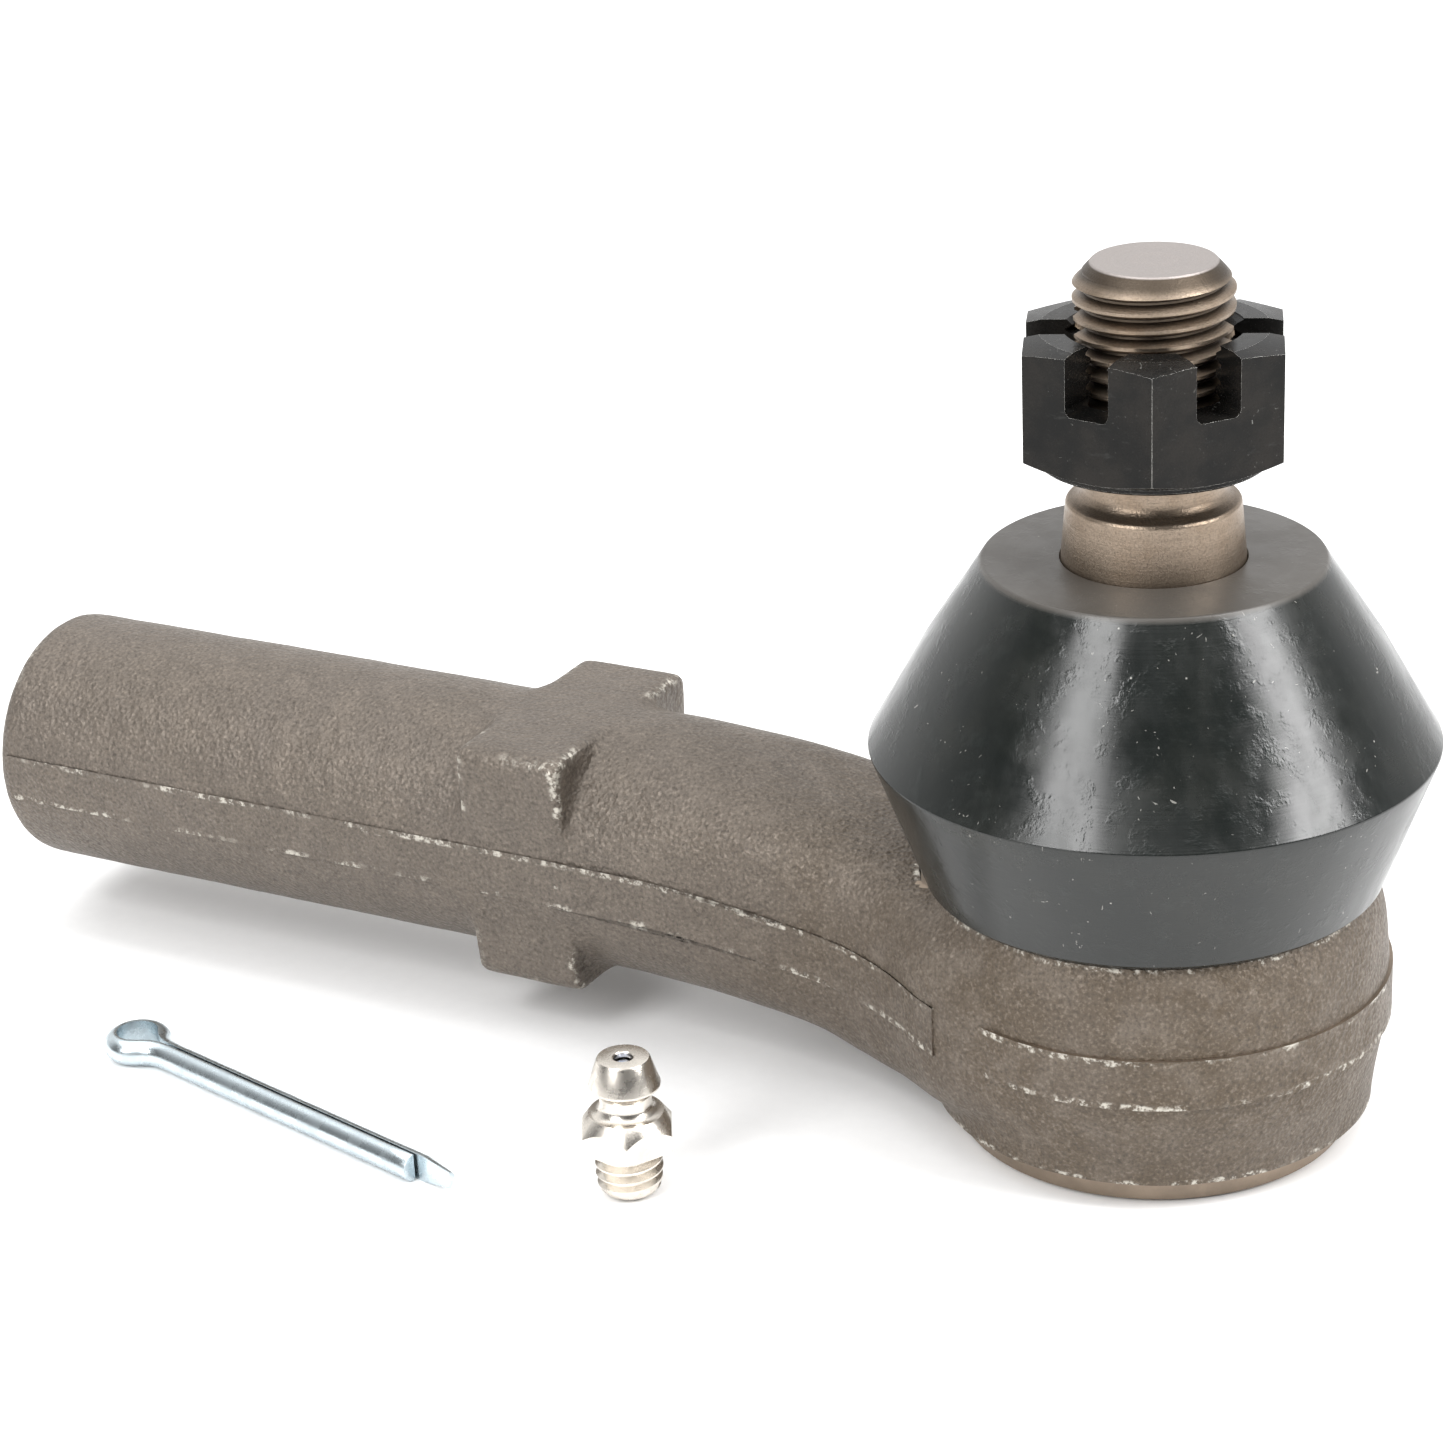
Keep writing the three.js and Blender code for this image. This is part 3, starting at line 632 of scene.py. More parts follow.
def plated(name, base, centre=(0, 0), gloss=0.16):
    """Bright plating with a faint haze and drawn lines."""
    finish = Finish(name, metallic=1)
    haze = finish.between(finish.noise(0.0024, 4, 0.65), 0.35, 0.7)
    lines = finish.noise(0.00009, 2, 0.5, finish.rings(centre))
    grain = finish.noise(0.0002, 2, 0.6)
    toned = finish.mix(haze, base, shade(base, 0.8))
    colour = finish.mix(finish.between(grain, 0.62, 0.8, 0, 0.5), toned, shade(base, 0.45))
    dull = finish.sum(finish.between(haze, 0, 1, gloss, gloss + 0.1), finish.product(lines, 0.06))
    return finish.done(colour, dull, finish.bump(lines, 0.000006, finish.bump(grain, 0.000008)))


def zinc_plate():
    return plated("Zinc plate", chosen("zinc"), gloss=0.2)


def nickel_plate():
    low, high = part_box("grease_check_ball")
    middle = (low + high) / 2
    return plated("Nickel plate", chosen("nickel"), middle, gloss=0.2)


def sintered_iron():
    """Pressed and oiled iron, with open pores."""
    base = chosen("sintered")
    finish = Finish("Sintered iron", metallic=0.6)
    pores = finish.between(finish.cells(0.00045), 0.05, 0.3)
    cloud = finish.between(finish.noise(0.004, 3, 0.6), 0.35, 0.7)
    colour = finish.mix(pores, shade(base, 0.45), finish.mix(cloud, shade(base, 0.85), shade(base, 1.15)))
    return finish.done(colour, finish.between(pores, 0, 1, 0.7, 0.48), finish.bump(pores, 0.00003))


def spring_steel():
    """Drawn steel wire, lightly blued."""
    base = chosen("spring")
    finish = Finish("Spring steel", metallic=1)
    drawn = finish.noise(0.0004, 4, 0.6, finish.stretched((1, 1, 4)))
    blue = finish.between(finish.noise(0.003, 3, 0.6), 0.4, 0.7)
    colour = finish.mix(blue, base, tinted(base, 0.75, 0.85, 1.1))
    return finish.done(colour, finish.between(drawn, 0.3, 0.7, 0.22, 0.4), finish.bump(drawn, 0.00001))


def bench_paper():
    """A pale, even paper sweep."""
    finish = Finish("Bench paper", metallic=0, Specular_IOR_Level=0.2)
    fibre = finish.noise(0.0016, 4, 0.6)
    base = tuple(bpy.context.scene.tie_rod_stage.floor)
    colour = finish.mix(finish.between(fibre, 0.3, 0.7), base, shade(base, 0.985))
    return finish.done(colour, 0.85, finish.bump(fibre, 0.00002))


def finished(obj, body, node, slot, *materials, angle=24):
    """Dresses a piece, stands it in for its CAD node and lets it ride on that node's body."""
    marks = [face.material_index for face in obj.data.polygons]
    obj.data.materials.clear()
    for material in materials:
        obj.data.materials.append(material)
    obj.data.polygons.foreach_set("material_index", marks)
    pick(obj)
    bpy.ops.object.shade_smooth_by_angle(angle=math.radians(angle))
    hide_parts(node)
    if body:
        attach(obj, body)
    return obj


# ---- The forging ----


# Lines of the neck, as (x, value) from the shank to the stud's axis.
NECK_TOP = [
    (-0.056, 0.03025), (-0.050, 0.03015), (-0.042, 0.0291), (-0.033, 0.0270), (-0.0265, 0.0257),
    (-0.0193, 0.02475), (-0.006, 0.0236),
]
NECK_BOTTOM = [
    (-0.056, 0.00495), (-0.050, 0.00495), (-0.042, 0.0053), (-0.0345, 0.0056), (-0.030, 0.0050),
    (-0.0255, 0.0037), (-0.021, 0.0030), (-0.006, 0.0030),
]
NECK_SIDE = [
    (-0.056, 0.01265), (-0.050, 0.0126), (-0.042, 0.0123), (-0.033, 0.0120), (-0.026, 0.0122),
    (-0.020, 0.0143), (-0.014, 0.0182), (-0.006, 0.0205),
]
NECK_SQUARENESS = [(-0.056, 2.0), (-0.050, 2.05), (-0.042, 2.5), (-0.033, 3.6), (-0.006, 4.2)]


def neck_section(x, angle):
    """A point of the neck's section at x, which is a superellipse between the neck's lines."""
    top = BENCH + flow(NECK_TOP, x)
    bottom = BENCH + flow(NECK_BOTTOM, x)
    power = 2 / flow(NECK_SQUARENESS, x)
    across = math.copysign(abs(math.cos(angle)) ** power, math.cos(angle))
    upward = math.copysign(abs(math.sin(angle)) ** power, math.sin(angle))
    return x, flow(NECK_SIDE, x) * across, (top + bottom) / 2 + (top - bottom) / 2 * upward


def housing_blank():
    """The round housing with its drafted wall, before its rim, seat and bores are machined."""
    wide = reach_of("housing")
    collar_top = height_of("housing", 1)
    wall = [
        (wide - 0.0014, 0.0035), (wide - 0.0010, 0.0066), (wide - 0.0004, 0.0098), (wide - 0.0001, 0.0118),
        (wide, 0.0136), (wide - 0.0001, 0.0170), (wide - 0.0004, 0.0205), (wide - 0.0009, 0.0226),
    ]
    shoulder = [(wide - 0.0018, 0.0244), (wide - 0.0024, collar_top), (0, collar_top)]
    return turned("forging", [(0, -0.0005), (wide - 0.0015, -0.0005), *wall, *shoulder])


def wrench_square(sizes):
    """The square that a wrench grips, as a block across the shank. Its lower half is drafted in."""
    lower_width = 0.87
    lower_rise = 0.0006
    upper_drop = 0.0004
    deselect()
    bpy.ops.mesh.primitive_plane_add(
        size=sizes.square_across, rotation=(0, math.pi / 2, 0),
        location=(-sizes.square_middle - sizes.square_length / 2, 0, BENCH + sizes.shank_axis),
    )
    block = bpy.context.object
    settle(block)
    for vertex in block.data.vertices:
        lower = vertex.co.z < BENCH + sizes.shank_axis
        vertex.co.y *= lower_width if lower else 1
        vertex.co.z += lower_rise if lower else -upper_drop
    edit(block)
    bpy.ops.mesh.bevel(offset=sizes.square_corner, segments=8, affect="VERTICES")
    bpy.ops.mesh.select_all(action="SELECT")
    drawn_out((sizes.square_length, 0, 0))
    turn_out()
    return block


def parting_band(sizes):
    """The band where the forging's flash was trimmed off, a little proud of the wall all the way round."""
    proud = 0.00022
    length = -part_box("housing")[0].x
    wide = reach_of("housing") + proud
    half = [(-length + sizes.shank_edge + i * 0.0042, sizes.shank_radius - 0.0001) for i in range(16)]
    half += [(x * MM, flow(NECK_SIDE, x * MM) + 0.0001) for x in range(-54, -14, 2)]
    half += [(-0.0136, flow(NECK_SIDE, -0.0136) + 0.0002), (-0.0134, flow(NECK_SIDE, -0.0136) - 0.0001)]
    half += [(wide * math.sin(a), wide * math.cos(a)) for a in np.radians(range(-32, 91, 4))]
    loop = [(x, -y) for x, y in half] + [(x, y) for x, y in reversed(half[:-1])]
    band = chain("band", [Vector((x, y, BENCH)) for x, y in loop], closed=True)
    bpy.ops.mesh.select_all(action="SELECT")
    bpy.ops.mesh.edge_face_add()
    edge = 0.0004
    rest = sizes.band_height - 4 * edge
    drawn_out(*((0, 0, rise) for rise in (edge, edge, rest / 2, rest / 2, edge, edge)))
    turn_out()
    axis = sizes.shank_axis
    middle = [(-0.060, axis), (-0.044, axis - 0.0004), (-0.020, 0.0139), (-0.008, 0.0136)]
    for vertex in band.data.vertices:
        vertex.co.z += flow(middle, vertex.co.x) - sizes.band_height / 2
    return band


def rim_cutter():
    """Turns the rim under the housing, and faces it off at the bench."""
    return turned("rim room", [
        (0, 0), (0.0174, 0), (0.0179, 0.0003), (0.0183, 0.0026), (0.0186, 0.0029), (0.0240, 0.0029),
        (0.0240, -0.0020), (0, -0.0020),
    ])


def socket_cutter():
    """The room for the joint inside the housing: cover seat, bearing bore, throat and flared mouth."""
    collar_top = height_of("housing", 1)
    return turned("socket room", [
        (0, -MM), (0.0132, -MM), (0.0132, 0.0012), (0.0136, 0.0016), (0.0153, 0.0016), (0.0153, 0.0042),
        (0.0143, 0.0042), (0.0143, 0.0187), (0.0099, 0.0223), (0.0112, collar_top),
        (0.0116, collar_top + 0.0004), (0.0116, collar_top + MM), (0, collar_top + MM),
    ])


def boot_seat_cutter():
    """The machined flat that the boot seats on, and the room that the boot takes up above it."""
    base = height_of("dust_boot", 0) - 0.0003
    return turned("boot room", [
        (0.0156, base), (0.0210, base), (0.0258, 0.0374), (0.0258, 0.0500), (0.0156, 0.0500),
    ], closed=True)


def shank_bore_cutter(sizes):
    """The female thread in the shank, with its lead-in and drill point."""
    length = -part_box("housing")[0].x
    bore = 0.0080
    depth = 0.052
    pitch = 0.0015
    hole = turned("shank bore", [
        (0, length - depth - bore / math.tan(math.radians(59))), (bore, length - depth),
        (bore, length - 0.0012), (bore + 0.0012, length), (bore + 0.0012, length + MM), (0, length + MM),
    ])
    groove = thread_groove(bore - 0.00005, pitch, length - depth + 0.004, length + pitch, outward=False)
    return laid_down(cut(hole, groove, "UNION"), sizes.shank_axis)


def note_edges(obj, sharpest=0.6):
    """Stores how convex the surface is at each vertex, from 0 to 1 at this curvature per millimetre."""
    mesh = obj.data
    ends = np.zeros(len(mesh.edges) * 2, int)
    places = np.zeros(len(mesh.vertices) * 3)
    normals = np.zeros(len(mesh.vertices) * 3)
    mesh.edges.foreach_get("vertices", ends)
    mesh.vertices.foreach_get("co", places)
    mesh.vertices.foreach_get("normal", normals)
    ends, places, normals = ends.reshape(-1, 2), places.reshape(-1, 3), normals.reshape(-1, 3)
    step = places[ends[:, 0]] - places[ends[:, 1]]
    turn = normals[ends[:, 0]] - normals[ends[:, 1]]
    bend = (step * turn).sum(1) / np.maximum((step**2).sum(1), 1e-12) * MM
    total = np.bincount(ends.ravel(), np.repeat(bend, 2), len(mesh.vertices))
    count = np.bincount(ends.ravel(), minlength=len(mesh.vertices))
    worn = np.clip(total / np.maximum(count, 1) / sharpest, 0, 1)
    mesh.attributes.new("edge_wear", "FLOAT", "POINT").data.foreach_set("value", worn.astype(np.float32))


def paint(obj, test, slot):
    """Gives the faces whose middle passes the test another of the piece's materials."""
    for face in obj.data.polygons:
        if test(face.center, face.normal):
            face.material_index = slot


def machined(place, normal):
    """Whether a point of the forging lies on its rim, seat, bores or faced end."""
    radius = math.hypot(place.x, place.y)
    height = place.z - BENCH
    from_axis = math.hypot(place.y, height - bpy.context.scene.tie_rod_forging.shank_axis)
    in_socket = radius < 0.0158
    on_rim = height < 0.00292 and radius < 0.0188 and place.x > -0.03
    on_seat = radius < 0.0212 and 0.02385 < height < 0.0241 and normal.z > 0.9
    in_shank = from_axis < 0.0096 and place.x < -0.04
    return in_socket or on_rim or on_seat or in_shank


class MESH_OT_tie_rod_forging(bpy.types.Operator):
    """Makes the forged housing with its neck, wrench square and threaded shank"""

    bl_idname = "mesh.tie_rod_forging"
    bl_label = "Forging"

    def execute(self, context):
        sizes = context.scene.tie_rod_forging
        length = -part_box("housing")[0].x
        forging = housing_blank()
        neck = tube("neck", [-x * MM for x in range(54, 5, -1)], neck_section)
        edge = sizes.shank_edge
        round_end = bow((sizes.shank_radius - edge, length - edge), edge, 0, 90)
        shank = laid_down(
            turned("shank", [(0, 0.0535), (sizes.shank_radius, 0.0535), *round_end, (0, length)], steps=96),
            sizes.shank_axis,
        )
        for part in (neck, shank, wrench_square(sizes)):
            cut(forging, part, "UNION")
        shaped(forging, "REMESH", mode="VOXEL", voxel_size=sizes.voxel, adaptivity=0)
        shaped(forging, "SMOOTH", factor=0.5, iterations=sizes.softness)
        uneven = bpy.data.textures.new("forged unevenness", "CLOUDS")
        uneven.noise_scale = 0.007
        shaped(forging, "DISPLACE", texture=uneven, texture_coords="LOCAL", strength=0.00016)
        cut(forging, parting_band(sizes), "UNION")
        for tool in (rim_cutter(), boot_seat_cutter(), socket_cutter(), shank_bore_cutter(sizes)):
            cut(forging, tool)
        note_edges(forging)
        finished(forging, "forging", "housing", "forged_steel", forged_steel(), bare_steel())
        paint(forging, machined, 1)
        return {"FINISHED"}


# ---- Inside the socket ----


class MESH_OT_tie_rod_socket(bpy.types.Operator):
    """Makes the bearing rings, the preload spring and the cover plate with its grease port"""

    bl_idname = "mesh.tie_rod_socket"
    bl_label = "Socket Inside"

    def execute(self, context):
        ball = context.scene.tie_rod_stud.ball_height
        ring = 0.0140
        sphere = 0.0113
        lower = turned("lower_ring", [
            (0.0080, 0.0075), (ring - 0.0003, 0.0075), (ring, 0.0078), (ring, ball - 0.0006),
            (ring - 0.0003, ball - 0.0003), *bow((0, ball), sphere, -1.5, -45, 16),
        ], closed=True)
        upper = turned("upper_ring", [
            *bow((0, ball), sphere, 25, 1.5, 12), (ring - 0.0003, ball + 0.0003), (ring, ball + 0.0006),
            (ring, 0.0187), (0.0122, 0.0203),
        ], closed=True)
        for piece, body, node in (
            (lower, "lower_seat", "lower_bearing"), (upper, "socket", "upper_bearing"),
        ):
            finished(rounded(piece, 0.00015), body, node, "sintered_iron", sintered_iron())
        cover = turned("cover", [
            (0.0026, 0.0014), (0.0028, 0.0009), (0.0050, 0.0009), (0.0054, 0.0013), (0.0054, 0.0019),
            (0.0147, 0.0019), (0.0150, 0.0022), (0.0150, 0.0037), (0.0148, 0.0039), (0.0030, 0.0039),
            (0.0026, 0.0035),
        ], closed=True)
        cut(cover, thread_groove(0.00262, 0.0010, 0.0004, 0.0045, outward=False, steps=48))
        finished(cover, "forging", "cover_plate", "zinc_plate", zinc_plate())
        low, high = height_of("preload_spring", 0), height_of("preload_spring", 1)
        spring = coil("spring", 0.0116, 0.0012, low, high, 1.25)
        finished(spring, "forging", "preload_spring", "spring_steel", spring_steel())
        return {"FINISHED"}


def coil(name, radius, wire_size, low, high, turns, centre=(0, 0), steps=48):
    """A round wire wound into a coil that fits between two heights."""
    rise = (high - low - wire_size) / turns
    count = round(turns * steps)

    def section(turn, angle):
        out = radius + wire_size / 2 * math.cos(angle)
        x = centre[0] + out * math.cos(FULL_TURN * turn)
        y = centre[1] + out * math.sin(FULL_TURN * turn)
        return x, y, BENCH + low + wire_size / 2 + rise * turn + wire_size / 2 * math.sin(angle)

    wound = tube(name, [i / steps for i in range(count + 1)], section, around=16)
    return rounded(wound, wire_size / 6, angle=60)


# ---- Ball stud ----


def taper_radius(height):
    """Radius of the stud's 1 in 6 tapered seat."""
    return 0.0081 - (height - 0.0546) / 12


class MESH_OT_tie_rod_stud(bpy.types.Operator):
    """Makes the ball stud with its tapered seat, relief, cut thread and cotter hole"""

    bl_idname = "mesh.tie_rod_stud"
    bl_label = "Ball Stud"

    def execute(self, context):
        sizes = context.scene.tie_rod_stud
        ball, height, pitch = sizes.ball_height, height_of("ball_stud", 1), sizes.pitch
        thread = sizes.thread_radius
        stud = turned("stud", [
            (0, ball - 0.0080), *bow((0, ball), 0.0110, -46.6, 54.9, 40), (0.0063, 0.0262), (0.0063, 0.0330),
            (0.0088, 0.0428), (taper_radius(0.0445), 0.0445), (taper_radius(0.0596), 0.0596),
            *bow((taper_radius(0.0596) - 0.0005, 0.0596), 0.0005, 4, 84, 5),
            *bow((0.00745, 0.06135), 0.0012, 248, 180, 8),
            (0.00625, 0.0640), (thread - 0.0001, 0.0648), (thread, height - 0.0019),
            (thread - 0.0001, height - 0.0017), (0.00545, height - 0.00006), (0.00537, height), (0, height),
        ])
        cut(stud, thread_groove(thread, pitch, sizes.thread_foot, height + pitch))
        deselect()
        bpy.ops.mesh.primitive_cylinder_add(
            vertices=48, radius=sizes.cotter_hole / 2, depth=0.02, location=(0, 0, BENCH + sizes.hole_height),
            rotation=(0, math.pi / 2, sizes.hole_angle),
        )
        cut(stud, bpy.context.object)
        finished(stud, "stud", "ball_stud", "turned_steel", turned_steel())
        return {"FINISHED"}


# ---- Dust boot ----


class MESH_OT_tie_rod_boot(bpy.types.Operator):
    """Makes the rubber dust boot with its ridge and the lip that grips the stud"""

    bl_idname = "mesh.tie_rod_boot"
    bl_label = "Dust Boot"

    def execute(self, context):
        sizes = context.scene.tie_rod_boot
        base, top = height_of("dust_boot", 0), height_of("dust_boot", 1)
        ridge, ridge_height = reach_of("dust_boot"), sizes.ridge_height
        foot, neck, wall = sizes.foot_radius, sizes.top_radius, sizes.wall
        lip = taper_radius(top) + 0.00006
        soft = sizes.edge
        bulge = 0.0002
        middle = ((ridge + neck) / 2 + bulge, (ridge_height + top) / 2 + bulge)
        boot = turned("boot", [
            (0.0159, base + 0.0004), (0.0161, base), (foot - 0.0004, base), (foot, base + 0.0004),
            (ridge - 0.0005, ridge_height - 0.0014), *bow((ridge - soft, ridge_height), soft, -20, 50, 5),
            middle, *bow((neck - soft, top - soft), soft, 30, 90, 4),
            (lip + 0.0001, top), (lip, top - 0.0001), (taper_radius(top - 0.0033) + 0.00006, top - 0.0033),
            (taper_radius(top) + 0.0004, top - 0.0034), (neck - wall, top - 0.0034),
            (ridge - wall, ridge_height), (0.0159, height_of("housing", 1) + wall),
        ], steps=192, closed=True)
        finished(boot, None, "dust_boot", "boot_rubber", boot_rubber())
        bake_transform(boot)
        return {"FINISHED"}


# ---- Slotted nut ----


def hexagon(name, across, low, high, corner):
    """A six-sided prism with one corner in this direction, in radians from +X."""
    deselect()
    bpy.ops.mesh.primitive_cylinder_add(
        vertices=6, radius=across / math.sqrt(3), depth=high - low, location=(0, 0, BENCH + (low + high) / 2),
        rotation=(0, 0, corner - math.pi / 2),
    )
    obj = bpy.context.object
    obj.name = name
    settle(obj)
    return obj


def slot_cutter(sizes, top, turn):
    """The room of two opposite slots, as a bar through the axis in the direction turn with a rounded foot."""
    along = Vector((math.cos(turn), math.sin(turn), 0))
    floor = top - sizes.slot_depth
    deselect()
    bpy.ops.mesh.primitive_cube_add(size=1)
    bar = bpy.context.object
    bar.scale = (2 * sizes.across, sizes.slot_width, 2 * sizes.slot_depth)
    bar.location = (0, 0, BENCH + floor + sizes.slot_depth)
    bar.rotation_euler = (0, 0, turn)
    settle(bar)
    edit(bar)
    bpy.ops.mesh.select_all(action="DESELECT")
    close_edit()
    for edge in bar.data.edges:
        here, there = (bar.data.vertices[v].co for v in edge.vertices)
        lengthwise = abs((there - here).normalized().dot(along)) > 0.99
        edge.select = lengthwise and here.z < BENCH + floor + MM
    bpy.ops.object.mode_set(mode="EDIT")
    bpy.ops.mesh.bevel(offset=sizes.slot_corner, segments=6)
    close_edit()
    return bar


class MESH_OT_tie_rod_nut(bpy.types.Operator):
    """Makes the slotted nut with its chamfered corners, slots and thread"""

    bl_idname = "mesh.tie_rod_nut"
    bl_label = "Slotted Nut"

    def execute(self, context):
        sizes = context.scene.tie_rod_nut
        base, top = height_of("slotted_nut", 0), height_of("slotted_nut", 1)
        corner = sizes.across / math.sqrt(3)
        flat = sizes.across / 2
        nut = hexagon("nut", sizes.across, base - MM, top + MM, sizes.corner_angle)
        limit = turned("nut limit", [
            (0, base), (flat - 0.0009, base), (flat - 0.0007, base + 0.0002), (flat - 0.0007, base + 0.0005),
            (corner, base + 0.0016), (corner, top - sizes.chamfer), (flat - 0.00105, top), (0, top),
        ], steps=192)
        cut(nut, limit, "INTERSECT")
        nut.data.materials.clear()
        nut.data.materials.append(None)
        nut.data.materials.append(None)
        rounded(nut, sizes.edge, segments=3, angle=9, material=1)
        for degrees in (30, 90, 150):
            cut(nut, slot_cutter(sizes, top, sizes.corner_angle + math.radians(degrees)))
        rounded(nut, sizes.edge, segments=3, angle=50, material=1)
        bore = turned("nut bore", [
            (0, base - MM), (0.0078, base - MM), (0.0078, base), (0.00712, base + 0.0007),
            (0.00712, top - 0.0007), (0.0078, top), (0.0078, top + MM), (0, top + MM),
        ], steps=96)
        cut(bore, thread_groove(0.0070, 0.0015, base - 0.0005, top + 0.0005, outward=False), "UNION")
        cut(nut, bore)
        finished(nut, "nut", "slotted_nut", "black_oxide", black_oxide(), rubbed_and_highlighted_oxide(), angle=10)
        return {"FINISHED"}


# ---- Cotter pin ----


class MESH_OT_tie_rod_pin(bpy.types.Operator):
    """Makes the cotter pin, a half-round wire folded back on itself round an eye"""

    bl_idname = "mesh.tie_rod_pin"
    bl_label = "Cotter Pin"

    def execute(self, context):
        sizes = context.scene.tie_rod_pin
        gap, eye, throat = sizes.leg_gap / 2, sizes.eye_radius, sizes.throat
        wire_radius = (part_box("cotter_pin")[1].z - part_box("cotter_pin")[0].z) / 2
        start = math.radians(48)  # where the eye's arc begins, from the direction of the legs
        tip_size, tip_reach = 0.62, 0.35 * wire_radius
        join = Vector((eye * math.cos(start), eye * math.sin(start), 0))
        pull = 0.55 * (throat - join.x)

        def shoulder(t):
            """The bend from the leg out to the eye, as a smooth curve between their directions."""
            here, there = Vector((throat, gap, 0)), join
            leave = here + Vector((-pull, 0, 0))
            arrive = there + Vector((math.sin(start), -math.cos(start), 0)) * pull * 0.7
            return (1 - t)**3 * here + 3 * (1 - t)**2 * t * leave + 3 * (1 - t) * t**2 * arrive + t**3 * there

        half = [Vector((throat, gap, 0))] + [shoulder(i / 12) for i in range(1, 13)]
        turn = math.pi - start
        arc = [start + turn * i / 16 for i in range(1, 17)]
        half += [Vector((eye * math.cos(a), eye * math.sin(a), 0)) for a in arc]
        other = [Vector((v.x, -v.y, 0)) for v in reversed(half[:-1])]
        long_leg = [Vector((sizes.long_leg + (throat - sizes.long_leg) * i / 12, gap, 0)) for i in range(12)]
        short_leg = [Vector((throat + (sizes.short_leg - throat) * i / 12, -gap, 0)) for i in range(1, 13)]
        path = long_leg + half + other + short_leg
        heading = sizes.heading
        across = Vector((-math.sin(heading), math.cos(heading), 0))
        along = Vector((math.cos(heading), math.sin(heading), 0))
        eye_place = Vector((sizes.eye_x, sizes.eye_y, BENCH + wire_radius))

        def section(step, angle):
            i = round(step / MM)
            before, after = path[max(i - 1, 0)], path[min(i + 1, len(path) - 1)]
            ahead = (after - before).normalized()
            outward = Vector((ahead.y, -ahead.x, 0))
            flat = max(math.cos(angle), 0)
            reach, size = (tip_reach, tip_size) if i == 0 else (0, 1)
            point = path[i] + outward * flat * wire_radius * size + ahead * -reach
            lift = math.sin(angle) * wire_radius * size
            return eye_place + along * point.x + across * point.y + Vector((0, 0, lift))

        pin = tube("pin", [i * MM for i in range(len(path))], section, around=24)
        edit(pin)
        bpy.ops.mesh.remove_doubles(threshold=1e-6)
        turn_out()
        rounded(pin, 0.00012, segments=2, angle=50)
        finished(pin, "pin", "cotter_pin", "zinc_plate", zinc_plate())
        return {"FINISHED"}


# ---- Grease fitting ----


class MESH_OT_tie_rod_fitting(bpy.types.Operator):
    """Makes the grease fitting with its check ball and the spring that holds the ball up"""

    bl_idname = "mesh.tie_rod_fitting"
    bl_label = "Grease Fitting"

    def execute(self, context):
        sizes = context.scene.tie_rod_fitting
        low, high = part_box("grease_check_ball")
        place = (low + high) / 2
        place.z = 0
        top = height_of("grease_fitting_body", 1)
        corner = sizes.across / math.sqrt(3)
        thread = sizes.thread_radius
        body = turned("fitting", [
            (0, 0), (0.0010, 0), *bow((0.0014, 0.0016), 0.0016, -80, -8, 6), (thread - 0.0001, 0.0020),
            (thread, 0.0022), (thread, 0.0045), (0.0028, 0.0048), (0.0037, 0.0048), (corner, 0.0051),
            (corner, 0.0066), (0.0034, 0.0082), *bow((0.0034, 0.00925), 0.00105, 265, 180, 6),
            *bow((0.0034, 0.0097), 0.00105, 180, 128, 5), (0.00322, 0.01080), (0.00325, 0.0110),
            (0.0030, 0.0117), (0.00246, top - 0.0002), (0.00232, top), (0, top),
        ], steps=96)
        prism = hexagon("fitting hexagon", sizes.across, 0.0048, 0.0082, math.radians(-61))
        barrel = turned("fitting limit", [
            (0, -MM), (thread + 0.0001, -MM), (thread + 0.0001, 0.0049), (0, 0.0049),
        ], steps=96)
        head = turned("fitting head limit", [
            (0, 0.0081), (0.0050, 0.0081), (0.0050, top + MM), (0, top + MM),
        ], steps=96)
        cut(prism, barrel, "UNION")
        cut(prism, head, "UNION")
        cut(body, prism, "INTERSECT")
        rounded(body, 0.0001, segments=2, angle=25)
        cut(body, thread_groove(thread, 0.0010, 0.0010, 0.0046, steps=48))
        bore = turned("fitting bore", [
            (0, -MM), (0.0008, -MM), (0.0008, 0.0016), (0.00145, 0.0016), (0.00145, top - 0.00135),
            (0.0009, top - 0.0005), (0.0009, top - 0.0001), (0.0011, top + 0.0001), (0.0011, top + MM),
            (0, top + MM),
        ], steps=48)
        cut(body, bore)
        for vertex in body.data.vertices:
            vertex.co += place
        finished(body, "fitting", "grease_fitting_body", "nickel_plate", nickel_plate())
        spring_foot, spring_top = height_of("grease_check_spring", 0), height_of("grease_check_spring", 1)
        spring = coil("fitting_spring", 0.00112, 0.00036, spring_foot, spring_top, 5, centre=place, steps=24)
        finished(spring, "fitting", "grease_check_spring", "spring_steel", spring_steel())
        deselect()
        bpy.ops.mesh.primitive_uv_sphere_add(
            segments=48, ring_count=24, radius=(high.x - low.x) / 2, location=(low + high) / 2,
        )
        ball = bpy.context.object
        ball.name = "fitting_ball"
        settle(ball)
        finished(ball, "check_ball", "grease_check_ball", "spring_steel", spring_steel())
        return {"FINISHED"}


# ---- Stage ----


def heading_to(turn, rise):
    """The direction with this turn from -Y and this rise above the horizon."""
    return Vector((math.sin(turn) * math.cos(rise), -math.cos(turn) * math.cos(rise), math.sin(rise)))


def box_light(name, aim, turn, rise, power):
    """A tall soft box that looks at the point aim from azimuth turn and height rise."""
    towards = heading_to(turn, rise)
    deselect()
    bpy.ops.object.light_add(type="AREA", location=aim + towards * 0.9)
    lamp = bpy.context.object
    lamp.name = name
    lamp.data.shape = "RECTANGLE"
    lamp.data.size = 0.34
    lamp.data.size_y = 0.6
    lamp.data.energy = power
    lamp.rotation_euler = (-towards).to_track_quat("-Z", "Y").to_euler()


